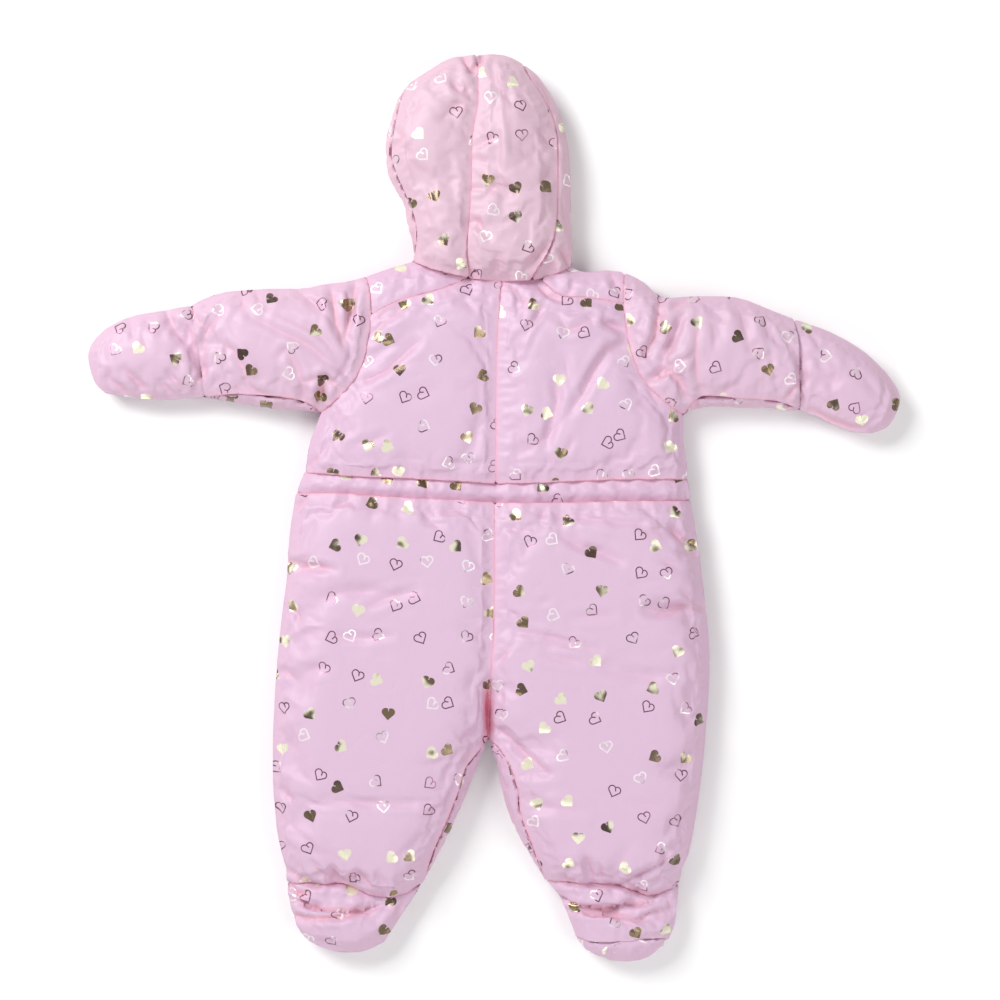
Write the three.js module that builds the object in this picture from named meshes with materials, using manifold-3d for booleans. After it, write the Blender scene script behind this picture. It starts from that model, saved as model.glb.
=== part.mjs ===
import * as THREE from 'three';
import { mergeVertices } from 'three/addons/utils/BufferGeometryUtils.js';
import Module from 'manifold-3d';

// Baby snowsuit, laid face down on a flat surface.
// Millimetres. X runs to the wearer's right, Y towards the hood, Z up from the surface.
// Each piece is a padded wall: a puffed outer surface, a plain inner face and a sewn edge.

// Padding and seams
const LAYER_HEIGHT = 14;      // plane where the upper and the lower walls lie on each other
const LAYER_GAP = 0.15;       // each wall's inner face to that plane
const SEAM_GAP = 0.2;         // each sewn edge to its seam line
const HEM_TURN = 0.8;         // the lower wall wraps this far over the outline
const HEM_GAP = 0.35;         // from that wrapped edge to the upper wall
const TOP_TURN = 44;          // distance from the outline over which the top reaches its loft
const UNDER_TURN = 20;        // distance from the outline over which the underside reaches the floor
const PUFF_POWER = 2.4;
const LEAST_CROWN = 0.3;      // share of the crown that stays at the deepest fold
const MITRE_LIMIT = 0.35;     // sine of the turn below which a border counts as straight
const LIP_SHARES = [0.3, 1];  // rows across a wrapped strip that shows beside its seam

// Height of the top above the surface, for each part of the suit
const LOFT = { hood: 44, yoke: 34, bodice: 34, casing: 31, leg: 39, sleeve: 35, mitt: 31, foot: 33 };

// How a seam pulls the top in (share of the crown, reach, gather waves) and lifts the underside
const PLAIN_SEAM = { pull: 0.2, reach: 7, wave: 0, pitch: 20, lift: 2.5, channel: 6 };
const NECK_SEAM = { pull: 0.38, reach: 10, wave: 0.06, pitch: 17, lift: 2.5, channel: 6 };
const CASING_SEAM = { pull: 0.24, reach: 6, wave: 0.05, pitch: 21, lift: 2.5, channel: 6 };
const WRIST_SEAM = { pull: 0.16, reach: 8, wave: 0.08, pitch: 17, lift: 2.5, channel: 6 };
const ANKLE_SEAM = { pull: 0.55, reach: 9, wave: 0.14, pitch: 19, lift: 3.5, channel: 8 };
const ZIP_EDGE = { pull: 0, reach: 1, wave: 0, pitch: 1, lift: 6.5, channel: 7 };
const FACE_EDGE = { pull: 0, reach: 1, wave: 0, pitch: 1, lift: 5, channel: 8 };

// Centre-front zip
const ZIP = {
  top: 180, bottom: -146, halfWidth: 6.7, tapeTop: 10, tapeUnder: 9.1,
  coilHalf: 3, coilUnder: 8.2, channelHalf: 7,
};
const SLIDER = { y: 162, halfWidth: 5, length: 13, under: 5, top: 7.9, nose: 3.2, bevel: 0.7 };
const BAIL = { inner: 1.25, outer: 2.3, width: 1.2, axisHeight: 4, rise: 1.4 };
const PULL = { width: 7, length: 27, thickness: 1.4, holeWidth: 2, holeEnd: 3.1, corner: 2.2, barSides: 24 };

// Face opening under the hood, an ellipse
const FACE = { x: -8, y: 264.5, halfWidth: 42, halfHeight: 67.5, columns: 4 };

// Outline and seam lines as laid, each a table of [x, y] rows, and the steps that it is sewn in
const LINES = {
  shoulder_left: { steps: 12, at: [[-65.5, 197], [-79, 193], [-91, 189], [-102.5, 185]] },
  shoulder_right: { steps: 12, at: [[61.5, 192.5], [73, 188.5], [89, 190], [102.5, 188.5]] },
  sleeve_top_left: { steps: 15, at: [[-102.5, 185], [-119, 180.5], [-135, 179], [-151, 175.5],
    [-183, 175], [-215, 172.5], [-231, 167.5], [-241.5, 162]] },
  sleeve_top_right: { steps: 15, at: [[102.5, 188.5], [112, 184.5], [121, 179], [130.5, 169.5],
    [139, 167.5], [153, 169], [185, 169], [201, 166], [217, 159.5], [237.5, 151.5]] },
  sleeve_bottom_left: { steps: 15, at: [[-139, 75.5], [-151, 77], [-167, 78], [-183, 79.5],
    [-199, 82], [-215, 85], [-231, 87.5]] },
  sleeve_bottom_right: { steps: 15, at: [[151, 73.5], [169, 80.5], [201, 79.5], [217, 79.5],
    [233, 77], [243, 78]] },
  underarm_seam_left: { steps: 15, at: [[-139, 75.5], [-147, 82], [-160, 86], [-181, 88.5],
    [-208, 90], [-231, 87.5]] },
  underarm_seam_right: { steps: 15, at: [[151, 73.5], [158.5, 84], [169, 88.5], [201, 86],
    [224, 84.5], [243, 78]] },
  mitt_top_left: { steps: 8, at: [[-241.5, 162], [-263, 158], [-279, 155.5], [-295, 151.5], [-311, 143]] },
  mitt_top_right: { steps: 8, at: [[237.5, 151.5], [265, 142], [281, 134], [297, 123.5], [313, 108.5]] },
  mitt_bottom_left: { steps: 8, at: [[-231, 87.5], [-247, 87], [-263, 86], [-279, 86], [-295, 88.5],
    [-311, 91]] },
  mitt_bottom_right: { steps: 8, at: [[243, 78], [257, 72.5], [269, 67], [285, 60.5], [301, 59]] },
  mitt_tip_left: { steps: 16, at: [[-311, 143], [-320, 134], [-325, 123], [-323, 109], [-318.5, 98],
    [-311, 91]] },
  mitt_tip_right: { steps: 16, at: [[313, 108.5], [321.5, 95.5], [324, 85], [320, 73], [313, 63.5],
    [301, 59]] },
  side_upper_left: { steps: 6, at: [[-139, 75.5], [-144, 63], [-148, 51], [-152, 28.5]] },
  side_upper_right: { steps: 5, at: [[151, 73.5], [151, 51], [153.5, 39], [154.5, 23]] },
  side_band_left: { steps: 3, at: [[-152, 28.5], [-156, 19.5], [-159, 11]] },
  side_band_right: { steps: 3, at: [[154.5, 23], [155.5, 14], [157, 5]] },
  side_leg_left: { steps: 27, at: [[-159, 11], [-164, -21], [-166.5, -57], [-169.5, -81], [-173, -113],
    [-176, -153], [-177.5, -207], [-175, -249], [-171, -273], [-167, -287], [-166.5, -299]] },
  side_leg_right: { steps: 27, at: [[157, 5], [163, -33], [168, -73], [172, -121], [169, -177],
    [164, -225], [156, -273], [150.5, -285], [148, -299]] },
  leg_in_left: { steps: 14, at: [[-5, -185], [-12, -201], [-21, -225], [-31, -249], [-42.5, -273],
    [-56, -298]] },
  leg_in_right: { steps: 14, at: [[-5, -185], [0, -201], [5.5, -225], [13, -249], [25, -273], [40, -297]] },
  inseam_left: { steps: 14, at: [[-5, -185], [-17, -199.5], [-24, -209], [-27.5, -223], [-37, -248],
    [-48, -273], [-56, -298]] },
  inseam_right: { steps: 14, at: [[-5, -185], [5, -194], [14, -211], [18, -226], [20, -243], [28, -265],
    [40, -297]] },
  foot_side_left: { steps: 7, at: [[-166.5, -299], [-165, -309], [-162.5, -321], [-158.5, -333]] },
  foot_side_right: { steps: 7, at: [[148, -299], [146, -315], [144, -333], [138.5, -346]] },
  foot_in_left: { steps: 7, at: [[-56, -298], [-63, -309], [-79, -333], [-88, -347]] },
  foot_in_right: { steps: 7, at: [[40, -297], [50.5, -309], [61, -333], [65, -343.5]] },
  foot_toe_left: { steps: 15, at: [[-158.5, -333], [-150.5, -344.5], [-135, -352.5], [-119, -355.5],
    [-103, -354], [-88, -347]] },
  foot_toe_right: { steps: 15, at: [[138.5, -346], [129.5, -355.5], [117, -362], [99, -363], [81, -359],
    [70.5, -351.5], [65, -343.5]] },
  sole_seam_right: { steps: 15, at: [[138.5, -346], [129, -343.5], [99, -345.5], [81, -346], [65, -343.5]] },
  neck_left: { steps: 6, at: [[-65.5, 197], [-53.5, 191.5], [-41, 187.5], [-20, 183]] },
  neck_mid_left: { steps: 3, at: [[-20, 183], [-7, 181.5], [5.5, 180.5]] },
  neck_mid_right: { steps: 2, at: [[28, 181.5], [17, 180.5], [5.5, 180.5]] },
  neck_seam_right: { steps: 1, at: [[37, 183], [28, 181.5]] },
  neck_right: { steps: 5, at: [[61.5, 192.5], [49.5, 187], [37, 183]] },
  front_neck_left: { steps: 8, at: [[-65.5, 197], [-41, 187.5], [-20, 183], [-7, 181.5]] },
  front_neck_right: { steps: 8, at: [[61.5, 192.5], [37, 183], [28, 181.5], [7, 180.5]] },
  yoke_left: { steps: 12, at: [[-20, 183], [-33.5, 177], [-49.5, 171.5], [-75, 164.5], [-98.5, 153]] },
  yoke_right: { steps: 12, at: [[37, 183], [45, 174], [55, 168.5], [78.5, 166.5], [103, 162]] },
  armhole_yoke_left: { steps: 6, at: [[-102.5, 185], [-100, 175], [-99, 164.5], [-98.5, 153]] },
  armhole_yoke_right: { steps: 5, at: [[102.5, 188.5], [102.5, 175], [103, 162]] },
  armhole_back_left: { steps: 10, at: [[-98.5, 153], [-101.5, 130], [-106.5, 111.5], [-113.5, 99.5],
    [-123, 89], [-139, 75.5]] },
  armhole_back_right: { steps: 11, at: [[103, 162], [106.5, 133], [115, 107.5], [122.5, 97],
    [137, 83], [151, 73.5]] },
  wrist_left: { steps: 16, at: [[-241.5, 162], [-238.5, 143], [-235, 123], [-231, 87.5]] },
  wrist_right: { steps: 16, at: [[237.5, 151.5], [241.5, 131], [242.5, 107], [243, 78]] },
  centre_back: { steps: 16, at: [[5.5, 180.5], [4, 163], [2.5, 143], [1.5, 103], [1, 56.5], [1, 19.5]] },
  waist_top_left: { steps: 15, at: [[-152, 28.5], [-121, 26], [-91, 24.5], [-55, 23], [1, 19.5]] },
  waist_top_right: { steps: 15, at: [[154.5, 23], [107, 23], [77, 22], [40, 20.5], [1, 19.5]] },
  casing_centre: { steps: 3, at: [[1, 19.5], [0.5, 12], [0, 4]] },
  waist_bottom_left: { steps: 15, at: [[-159, 11], [-121, 11], [-77, 8], [-16, 5], [0, 4]] },
  waist_bottom_right: { steps: 15, at: [[157, 5], [94.5, 5], [45.5, 3.5], [0, 4]] },
  centre_seat: { steps: 13, at: [[0, 4], [0, -73], [-1, -105], [-3, -137], [-5, -185]] },
  ankle_left: { steps: 15, at: [[-166.5, -299], [-131, -299], [-118.5, -299], [-107, -304.5],
    [-89.5, -310], [-71, -307], [-61, -299.9], [-56, -298]] },
  ankle_right: { steps: 15, at: [[148, -299], [136, -305], [123, -309], [111, -305], [95, -299.5],
    [61, -298], [40, -297]] },
  ankle_under_left: { steps: 8, at: [[-166.5, -299], [-111, -303], [-56, -298]] },
  ankle_under_right: { steps: 8, at: [[148, -299], [94, -301], [40, -297]] },
  hood_edge_left: { steps: 22, at: [[-65.5, 197], [-65.5, 207], [-70.5, 231], [-73, 243], [-80, 255],
    [-85.5, 267], [-87, 279], [-87, 291], [-85, 303], [-77.5, 327], [-68, 339]] },
  band_seam_left: { steps: 22, at: [[-65.5, 197], [-62, 219], [-66, 237], [-73, 253], [-79, 267],
    [-82.5, 281], [-81, 295], [-78, 311], [-74, 327], [-68, 339]] },
  hood_edge_right: { steps: 22, at: [[61.5, 192.5], [62.5, 207], [61.5, 231], [61, 255], [60, 279],
    [56, 303], [47, 327], [34.5, 345]] },
  hood_top_left: { steps: 6, at: [[-68, 339], [-49.5, 351], [-35, 359], [-14.5, 361.5]] },
  hood_top_centre: { steps: 5, at: [[-14.5, 361.5], [-7, 362], [9, 361], [21, 355.5]] },
  hood_top_right: { steps: 6, at: [[34.5, 345], [30.5, 348.5], [21, 355.5]] },
  hood_seam_left: { steps: 22, at: [[-20, 183], [-22.5, 205], [-19, 247], [-17.5, 287], [-16, 303],
    [-13, 319], [-13, 339], [-14.5, 361.5]] },
  hood_seam_right: { steps: 22, at: [[28, 181.5], [38, 197], [45.5, 211.5], [49, 235], [49.5, 263],
    [49.5, 287], [45.5, 311], [35, 331], [25, 345], [21, 355.5]] },
};

// Centre-front edges: the height where each stretch ends, and its steps, from the neck down
const FRONT_STRETCHES = {
  left: [{ to: 165, steps: 12 }, { to: 75, steps: 8 }, { to: 25, steps: 6 }, { to: 8, steps: 3 },
    { to: -146, steps: 11 }, { to: -185, steps: 2 }],
  right: [{ to: 165, steps: 12 }, { to: 75, steps: 8 }, { to: 25, steps: 5 }, { to: 8, steps: 3 },
    { to: -146, steps: 11 }, { to: -185, steps: 2 }],
};
const CROTCH = [-5, -185];
const EDGE_BOW = 0.5;         // the zip edges and the chin slit bow this far from a straight line

// Largest folds: where each runs, how deep it is (a ridge is negative) and how far it reaches aside
const FOLDS = [
  { at: [[-113, 178], [-122, 139]], depth: 6, reach: 7 },
  { at: [[-107, 111], [-79, 123], [-59, 143]], depth: 4, reach: 8 },
  { at: [[105, 131], [85, 111], [65, 87]], depth: 4, reach: 8 },
  { at: [[54, 131], [47, 87], [41, 47]], depth: 3, reach: 8 },
  { at: [[82, 148], [103, 142]], depth: 4, reach: 6 },
  { at: [[-263, 156], [-247, 136], [-238, 123]], depth: 5, reach: 6 },
  { at: [[-229, 139], [-230, 98]], depth: 5, reach: 6 },
  { at: [[125, 103], [147, 147]], depth: 5, reach: 8 },
  { at: [[137, 98], [157, 135]], depth: -3, reach: 7 },
  { at: [[229, 100], [232, 82]], depth: 4, reach: 6 },
  { at: [[-164, -45], [-141, -47]], depth: 6, reach: 6 },
  { at: [[-138, -71], [-91, -67], [-62, -66]], depth: 4, reach: 7 },
  { at: [[-174, -132], [-158, -136]], depth: 6, reach: 6 },
  { at: [[-123, -102], [-93, -103]], depth: 3, reach: 7 },
  { at: [[-135, -232], [-111, -233], [-66, -234]], depth: 3.5, reach: 7 },
  { at: [[46, -4], [66, -27], [94, -40]], depth: 4, reach: 8 },
  { at: [[140, -17], [161, -33]], depth: 6, reach: 7 },
  { at: [[118, -81], [166, -81]], depth: 5, reach: 7 },
  { at: [[18, -97], [53, -104]], depth: 3.5, reach: 7 },
  { at: [[89, -127], [130, -133]], depth: 4, reach: 7 },
  { at: [[-2, -173], [14, -188], [38, -209]], depth: 6, reach: 8 },
  { at: [[24, -232], [38, -234]], depth: 4, reach: 6 },
  { at: [[-5, -143], [-5, -185]], depth: 12, reach: 6 },
  { at: [[-130, -287], [-121, -296]], depth: 4, reach: 5 },
  { at: [[-165, -280], [-150, -298]], depth: 5, reach: 6 },
  { at: [[-164, -301], [-139, -315], [-109, -317], [-69, -313]], depth: 6, reach: 5 },
  { at: [[95, -299], [136, -278]], depth: 4, reach: 6 },
  { at: [[74, -280], [86, -297]], depth: 4, reach: 5 },
  { at: [[50, -307], [74, -315], [99, -316], [118, -312]], depth: 6, reach: 5 },
  { at: [[77, -316], [123, -325], [141, -321]], depth: 4, reach: 5 },
  { at: [[5.5, 355], [5.5, 258]], depth: -2.5, reach: 8 },
  { at: [[-4, 256], [11, 236]], depth: 4, reach: 6 },
  { at: [[-23, 228], [-9, 221]], depth: 4, reach: 6 },
  { at: [[52, 211], [61, 200]], depth: 5, reach: 5 },
];

const CLOTH = { color: 0xe6c6de, roughness: 0.42, metalness: 0 };
const TAPE = { color: 0xe2a9bf, roughness: 0.8, metalness: 0 };
const ENAMEL = { color: 0xe0a8bf, roughness: 0.35, metalness: 0.2 };

const suit = new THREE.Group();
const wasm = await Module();
wasm.setup();

// Spacing of points along a line, by their share of the steps
const even = (share) => share;
const crowded = (share) => (1 - Math.cos(Math.PI * share)) / 2;

// Points along one line, or along several that follow each other
function along(names, steps, spacing = even) {
  const list = [names].flat();
  const rows = list.flatMap((name, index) => LINES[name].at.slice(index === 0 ? 0 : 1));
  const curve = new THREE.SplineCurve(rows.map(([x, y]) => new THREE.Vector2(x, y)));
  curve.arcLengthDivisions = 400;
  const count = steps ?? LINES[list[0]].steps;
  return Array.from({ length: count + 1 }, (_, step) => curve.getPointAt(spacing(step / count)));
}

function reversed(points) {
  return [...points].reverse();
}

function joined(...runs) {
  return runs.flatMap((run, index) => (index === 0 ? run : run.slice(1)));
}

// The front edge beside the zip, then down to the crotch
function frontEdge(side) {
  const sign = side === 'left' ? -1 : 1;
  const points = [along(`front_neck_${side}`).at(-1)];
  let from = points[0].y;
  for (const { to, steps } of FRONT_STRETCHES[side]) {
    for (let step = 1; step <= steps; step += 1) {
      const y = THREE.MathUtils.lerp(from, to, step / steps);
      const past = THREE.MathUtils.clamp((ZIP.bottom - y) / (ZIP.bottom - CROTCH[1]), 0, 1);
      const bow = EDGE_BOW * Math.sin((Math.PI * (points[0].y - y)) / (points[0].y - CROTCH[1]));
      const x = THREE.MathUtils.lerp(sign * (ZIP.channelHalf + bow), CROTCH[0], past);
      points.push(new THREE.Vector2(x, y));
    }
    from = to;
  }
  return points;
}

// Silhouette of the whole garment, used for how far each point lies inside it
const silhouette = joined(
  along('hood_edge_left'), along('hood_top_left'), along('hood_top_centre'),
  reversed(along('hood_top_right')), reversed(along('hood_edge_right')), along('shoulder_right'), along('sleeve_top_right'),
  along('mitt_top_right'), along('mitt_tip_right'), reversed(along('mitt_bottom_right')),
  reversed(along('sleeve_bottom_right')), along('side_upper_right'), along('side_band_right'),
  along('side_leg_right'), along('foot_side_right'), along('foot_toe_right'),
  reversed(along('foot_in_right')), reversed(along('leg_in_right')), along('leg_in_left'),
  along('foot_in_left'), reversed(along('foot_toe_left')), reversed(along('foot_side_left')),
  reversed(along('side_leg_left')), reversed(along('side_band_left')), reversed(along('side_upper_left')),
  along('sleeve_bottom_left'), along('mitt_bottom_left'), reversed(along('mitt_tip_left')),
  reversed(along('mitt_top_left')), reversed(along('sleeve_top_left')), reversed(along('shoulder_left')),
);

// Smooth distance to the silhouette, from the inverse-cube pull of each of its edges
function depthInside(x, y) {
  let pull = 0;
  for (let index = 0; index + 1 < silhouette.length; index += 1) {
    const a = silhouette[index];
    const b = silhouette[index + 1];
    const length = Math.hypot(b.x - a.x, b.y - a.y);
    const ux = (b.x - a.x) / length;
    const uy = (b.y - a.y) / length;
    const start = (a.x - x) * ux + (a.y - y) * uy;
    const aside = Math.abs((a.x - x) * uy - (a.y - y) * ux);
    const square = Math.max(aside * aside, 1e-6);
    const end = start + length;
    pull += (end / Math.sqrt(square + end * end) - start / Math.sqrt(square + start * start)) / square;
  }
  return 1 / Math.sqrt(pull / 2);
}

// Nearest place on a polyline: its distance and how far along it lies
function nearest(points, x, y) {
  let best = { distance: Infinity, run: 0, share: 0 };
  let run = 0;
  const total = points.slice(1).reduce((sum, point, index) => sum + point.distanceTo(points[index]), 0);
  for (let index = 0; index + 1 < points.length; index += 1) {
    const a = points[index];
    const b = points[index + 1];
    const length = a.distanceTo(b);
    const dot = ((x - a.x) * (b.x - a.x) + (y - a.y) * (b.y - a.y)) / (length * length);
    const t = THREE.MathUtils.clamp(dot, 0, 1);
    const distance = Math.hypot(a.x + (b.x - a.x) * t - x, a.y + (b.y - a.y) * t - y);
    if (distance < best.distance) {
      best = { distance, run: run + t * length, share: (run + t * length) / total };
    }
    run += length;
  }
  return best;
}

// Share of the full loft at a distance inside the outline
function puff(inside, turn) {
  const left = 1 - Math.min(inside / turn, 1);
  return Math.sqrt(1 - left ** PUFF_POWER);
}

const foldLines = FOLDS.map(({ at, depth, reach }) => (
  { points: at.map(([x, y]) => new THREE.Vector2(x, y)), depth, reach }
));

// How much the folds take off the top at a point
function foldDrop(x, y) {
  let drop = 0;
  for (const { points, depth, reach } of foldLines) {
    const { distance, share } = nearest(points, x, y);
    const fade = Math.sqrt(Math.sin(Math.PI * (0.1 + 0.8 * share)));
    drop += depth * fade * Math.exp(-((distance / reach) ** 2));
  }
  return drop;
}

function topHeight(x, y, loft, seams) {
  const share = puff(depthInside(x, y), TOP_TURN);
  const crown = (loft - LAYER_HEIGHT) * share;
  let kept = 1;
  for (const { points, pull, reach, wave, pitch } of seams) {
    const { distance, run } = nearest(points, x, y);
    const hold = Math.exp(-distance / reach);
    kept -= pull * hold + wave * Math.cos((2 * Math.PI * run) / pitch) * Math.exp(-distance / (2 * reach));
  }
  const height = crown * kept - foldDrop(x, y) * share;
  return LAYER_HEIGHT + Math.max(height, crown * LEAST_CROWN);
}

function underHeight(x, y, seams) {
  const lifted = LAYER_HEIGHT * (1 - puff(depthInside(x, y), UNDER_TURN));
  const channels = seams.map(({ points, lift, channel }) => {
    const { distance } = nearest(points, x, y);
    return distance < channel ? lift * (1 - distance / channel) ** 2 : 0;
  });
  return Math.max(lifted, ...channels);
}

// A run of an edge is sewn to a neighbour, or free where the lower wall wraps over the outline;
// cover is the seam line on top that a free run is wrapped up to
const sewn = (points, style = PLAIN_SEAM) => ({ points, cover: points, style, free: false });
const wrapped = (points, cover = points) => ({ points, cover, style: null, free: true });

// One side of a wall: its points, the covering seam's points, and which of its steps are free
function sideOf(runs, line) {
  return {
    points: joined(...runs.map((run) => run[line])),
    cover: joined(...runs.map((run) => run.cover)),
    free: runs.flatMap((run) => run.points.slice(1).map(() => run.free)),
  };
}

// A grid of points between four sides, rows down the left and right and columns across
function patch({ top, bottom, left, right }, spacing) {
  const rows = left.points.length - 1;
  const columns = top.points.length - 1;
  return left.points.map((west, i) => top.points.map((north, j) => {
    const u = spacing(j / columns);
    const v = i / rows;
    const point = new THREE.Vector2();
    point.addScaledVector(north, 1 - v).addScaledVector(bottom.points[j], v);
    point.addScaledVector(west, 1 - u).addScaledVector(right.points[i], u);
    point.addScaledVector(top.points[0], -(1 - u) * (1 - v));
    point.addScaledVector(top.points[columns], -u * (1 - v));
    point.addScaledVector(bottom.points[0], -(1 - u) * v);
    return point.addScaledVector(bottom.points[columns], -u * v);
  }));
}

// The border of a grid, once round: each place's row and column, cover point, and whether the
// step from it to the next place is free
function borderOf(grid, sides) {
  const rows = grid.length - 1;
  const columns = grid[0].length - 1;
  const places = [];
  const add = (i, j, side, at, step) => {
    places.push({ i, j, cover: sides[side].cover[at], free: sides[side].free[step] });
  };
  for (let j = 0; j < columns; j += 1) add(0, j, 'top', j, j);
  for (let i = 0; i < rows; i += 1) add(i, columns, 'right', i, i);
  for (let j = columns; j > 0; j -= 1) add(rows, j, 'bottom', j, j - 1);
  for (let i = rows; i > 0; i -= 1) add(i, 0, 'left', i, i - 1);
  return places;
}

// A loop moved inwards, each step by its own margin, with mitred corners
function inset(loop, margins) {
  const turn = THREE.ShapeUtils.isClockWise(loop) ? 1 : -1;
  const normals = loop.map((point, k) => {
    const step = loop[(k + 1) % loop.length].clone().sub(point).normalize();
    return new THREE.Vector2(step.y * turn, -step.x * turn);
  });
  return loop.map((point, k) => {
    const before = (k + loop.length - 1) % loop.length;
    const [n, m] = [normals[before], normals[k]];
    const [p, q] = [margins[before], margins[k]];
    const cross = n.cross(m);
    if (Math.abs(cross) < MITRE_LIMIT && n.dot(m) > 0) {
      return point.clone().addScaledVector(n.clone().add(m).normalize(), Math.max(p, q));
    }
    return new THREE.Vector2(
      point.x + (p * m.y - q * n.y) / cross,
      point.y + (q * n.x - p * m.x) / cross,
    );
  });
}

// A closed wall: its outer grid, the path of its edge from each border point, and a flat inner face
function addWall(name, grid, places, paths, innerHeight) {
  const positions = [];
  const triangles = [];
  const put = ({ x, y, z }) => positions.push(x, y, z) / 3 - 1;
  const index = grid.map((row) => row.map(put));
  for (let i = 0; i + 1 < index.length; i += 1) {
    for (let j = 0; j + 1 < index[0].length; j += 1) {
      const [a, b, c, d] = [index[i][j], index[i][j + 1], index[i + 1][j + 1], index[i + 1][j]];
      if ((i + j) % 2 === 0) triangles.push(a, b, c, a, c, d);
      else triangles.push(a, b, d, b, c, d);
    }
  }
  const edges = places.map(({ i, j }, k) => {
    const { x, y } = paths[k].at(-1) ?? grid[i][j];
    return [index[i][j], ...paths[k].map(put), put({ x, y, z: innerHeight })];
  });
  edges.forEach((here, k) => {
    const next = edges[(k + 1) % edges.length];
    if (here.length === next.length) {
      for (let step = 0; step + 1 < here.length; step += 1) {
        triangles.push(next[step], here[step], here[step + 1], next[step], here[step + 1], next[step + 1]);
      }
    } else {
      const outline = [...here, ...next.toReversed()];
      const hub = here.length > next.length ? here.length - 1 : here.length;
      const fan = [...outline.slice(hub + 1), ...outline.slice(0, hub)];
      for (let step = 0; step + 1 < fan.length; step += 1) {
        triangles.push(outline[hub], fan[step], fan[step + 1]);
      }
    }
  });
  const inner = edges.map((path) => path.at(-1));
  const flat = inner.map((at) => new THREE.Vector2(positions[3 * at], positions[3 * at + 1]));
  const clockwise = THREE.ShapeUtils.isClockWise(flat);
  for (const [a, b, c] of THREE.ShapeUtils.triangulateShape(flat, [])) {
    triangles.push(inner[a], inner[clockwise ? b : c], inner[clockwise ? c : b]);
  }
  addMesh(name, solidFrom(positions, triangles), CLOTH);
}

// Geometry with its faces pointing out, whichever way round the grid was given
function solidFrom(positions, triangles) {
  const corner = (at) => new THREE.Vector3().fromArray(positions, 3 * at);
  let volume = 0;
  for (let t = 0; t < triangles.length; t += 3) {
    volume += corner(triangles[t]).dot(corner(triangles[t + 1]).cross(corner(triangles[t + 2])));
  }
  const geometry = new THREE.BufferGeometry();
  geometry.setAttribute('position', new THREE.Float32BufferAttribute(positions, 3));
  geometry.setIndex(volume < 0 ? triangles.toReversed() : triangles);
  geometry.computeVertexNormals();
  return geometry;
}

function addMesh(name, geometry, finish) {
  const mesh = new THREE.Mesh(geometry, new THREE.MeshStandardMaterial(finish));
  mesh.name = name;
  suit.add(mesh);
  return mesh;
}

const seamsOf = (edges) => Object.values(edges).flat().filter((run) => !run.free)
  .map(({ points, style }) => ({ points, ...style }));

function sidesOf(edges, line) {
  return Object.fromEntries(Object.entries(edges).map(([side, runs]) => [side, sideOf(runs, line)]));
}

// A wall of the upper layer: puffed top, edges at its seams, inner face on the layer plane
function addUpper(name, loft, edges) {
  const sides = sidesOf(edges, 'cover');
  const grid = patch(sides, even);
  const seams = seamsOf(edges);
  const places = borderOf(grid, sides);
  const margins = places.map(({ free }) => (free ? HEM_TURN + HEM_GAP : SEAM_GAP));
  const sunk = inset(places.map(({ i, j }) => grid[i][j]), margins);
  places.forEach(({ i, j }, k) => grid[i][j].copy(sunk[k]));
  const top = grid.map((row) => row.map(({ x, y }) => ({ x, y, z: topHeight(x, y, loft, seams) })));
  addWall(name, top, places, places.map(() => []), LAYER_HEIGHT + LAYER_GAP);
}

// A wall of the lower layer: flat on the surface, turned up at the outline and wrapped over it
function addLower(name, loft, edges, spacing = even) {
  const sides = sidesOf(edges, 'points');
  const grid = patch(sides, spacing);
  const seams = seamsOf(edges);
  const places = borderOf(grid, sides);
  const hem = inset(places.map(({ cover }) => cover), places.map(({ free }) => (free ? HEM_TURN : SEAM_GAP)));
  const sunk = inset(places.map(({ i, j }) => grid[i][j]), places.map(({ free }) => (free ? 0 : SEAM_GAP)));
  places.forEach(({ i, j }, k) => grid[i][j].copy(sunk[k]));
  const shares = Object.values(edges).flat().some((run) => run.cover !== run.points) ? LIP_SHARES : [1];
  const paths = places.map(({ i, j, free }, k) => {
    const turned = free || places[(k + places.length - 1) % places.length].free;
    return turned ? shares.map((share) => {
      const { x, y } = grid[i][j].clone().lerp(hem[k], share);
      return { x, y, z: topHeight(x, y, loft, []) };
    }) : [];
  });
  const under = grid.map((row) => row.map(({ x, y }) => ({ x, y, z: underHeight(x, y, seams) })));
  addWall(name, under, places, paths, LAYER_HEIGHT - LAYER_GAP);
}

// Lines that differ from side to side
const SIDES = ['left', 'right'];
const NECK = { left: ['neck_left'], right: ['neck_right', 'neck_seam_right'] };
const YOKE_TO_CENTRE = { left: ['neck_mid_left'], right: ['neck_seam_right', 'neck_mid_right'] };
const HOOD_COVER = { left: 'band_seam_left', right: 'hood_edge_right' };
const TOE_COVER = { left: 'foot_toe_left', right: 'sole_seam_right' };
const ARMHOLE_STEPS = 8;

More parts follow.
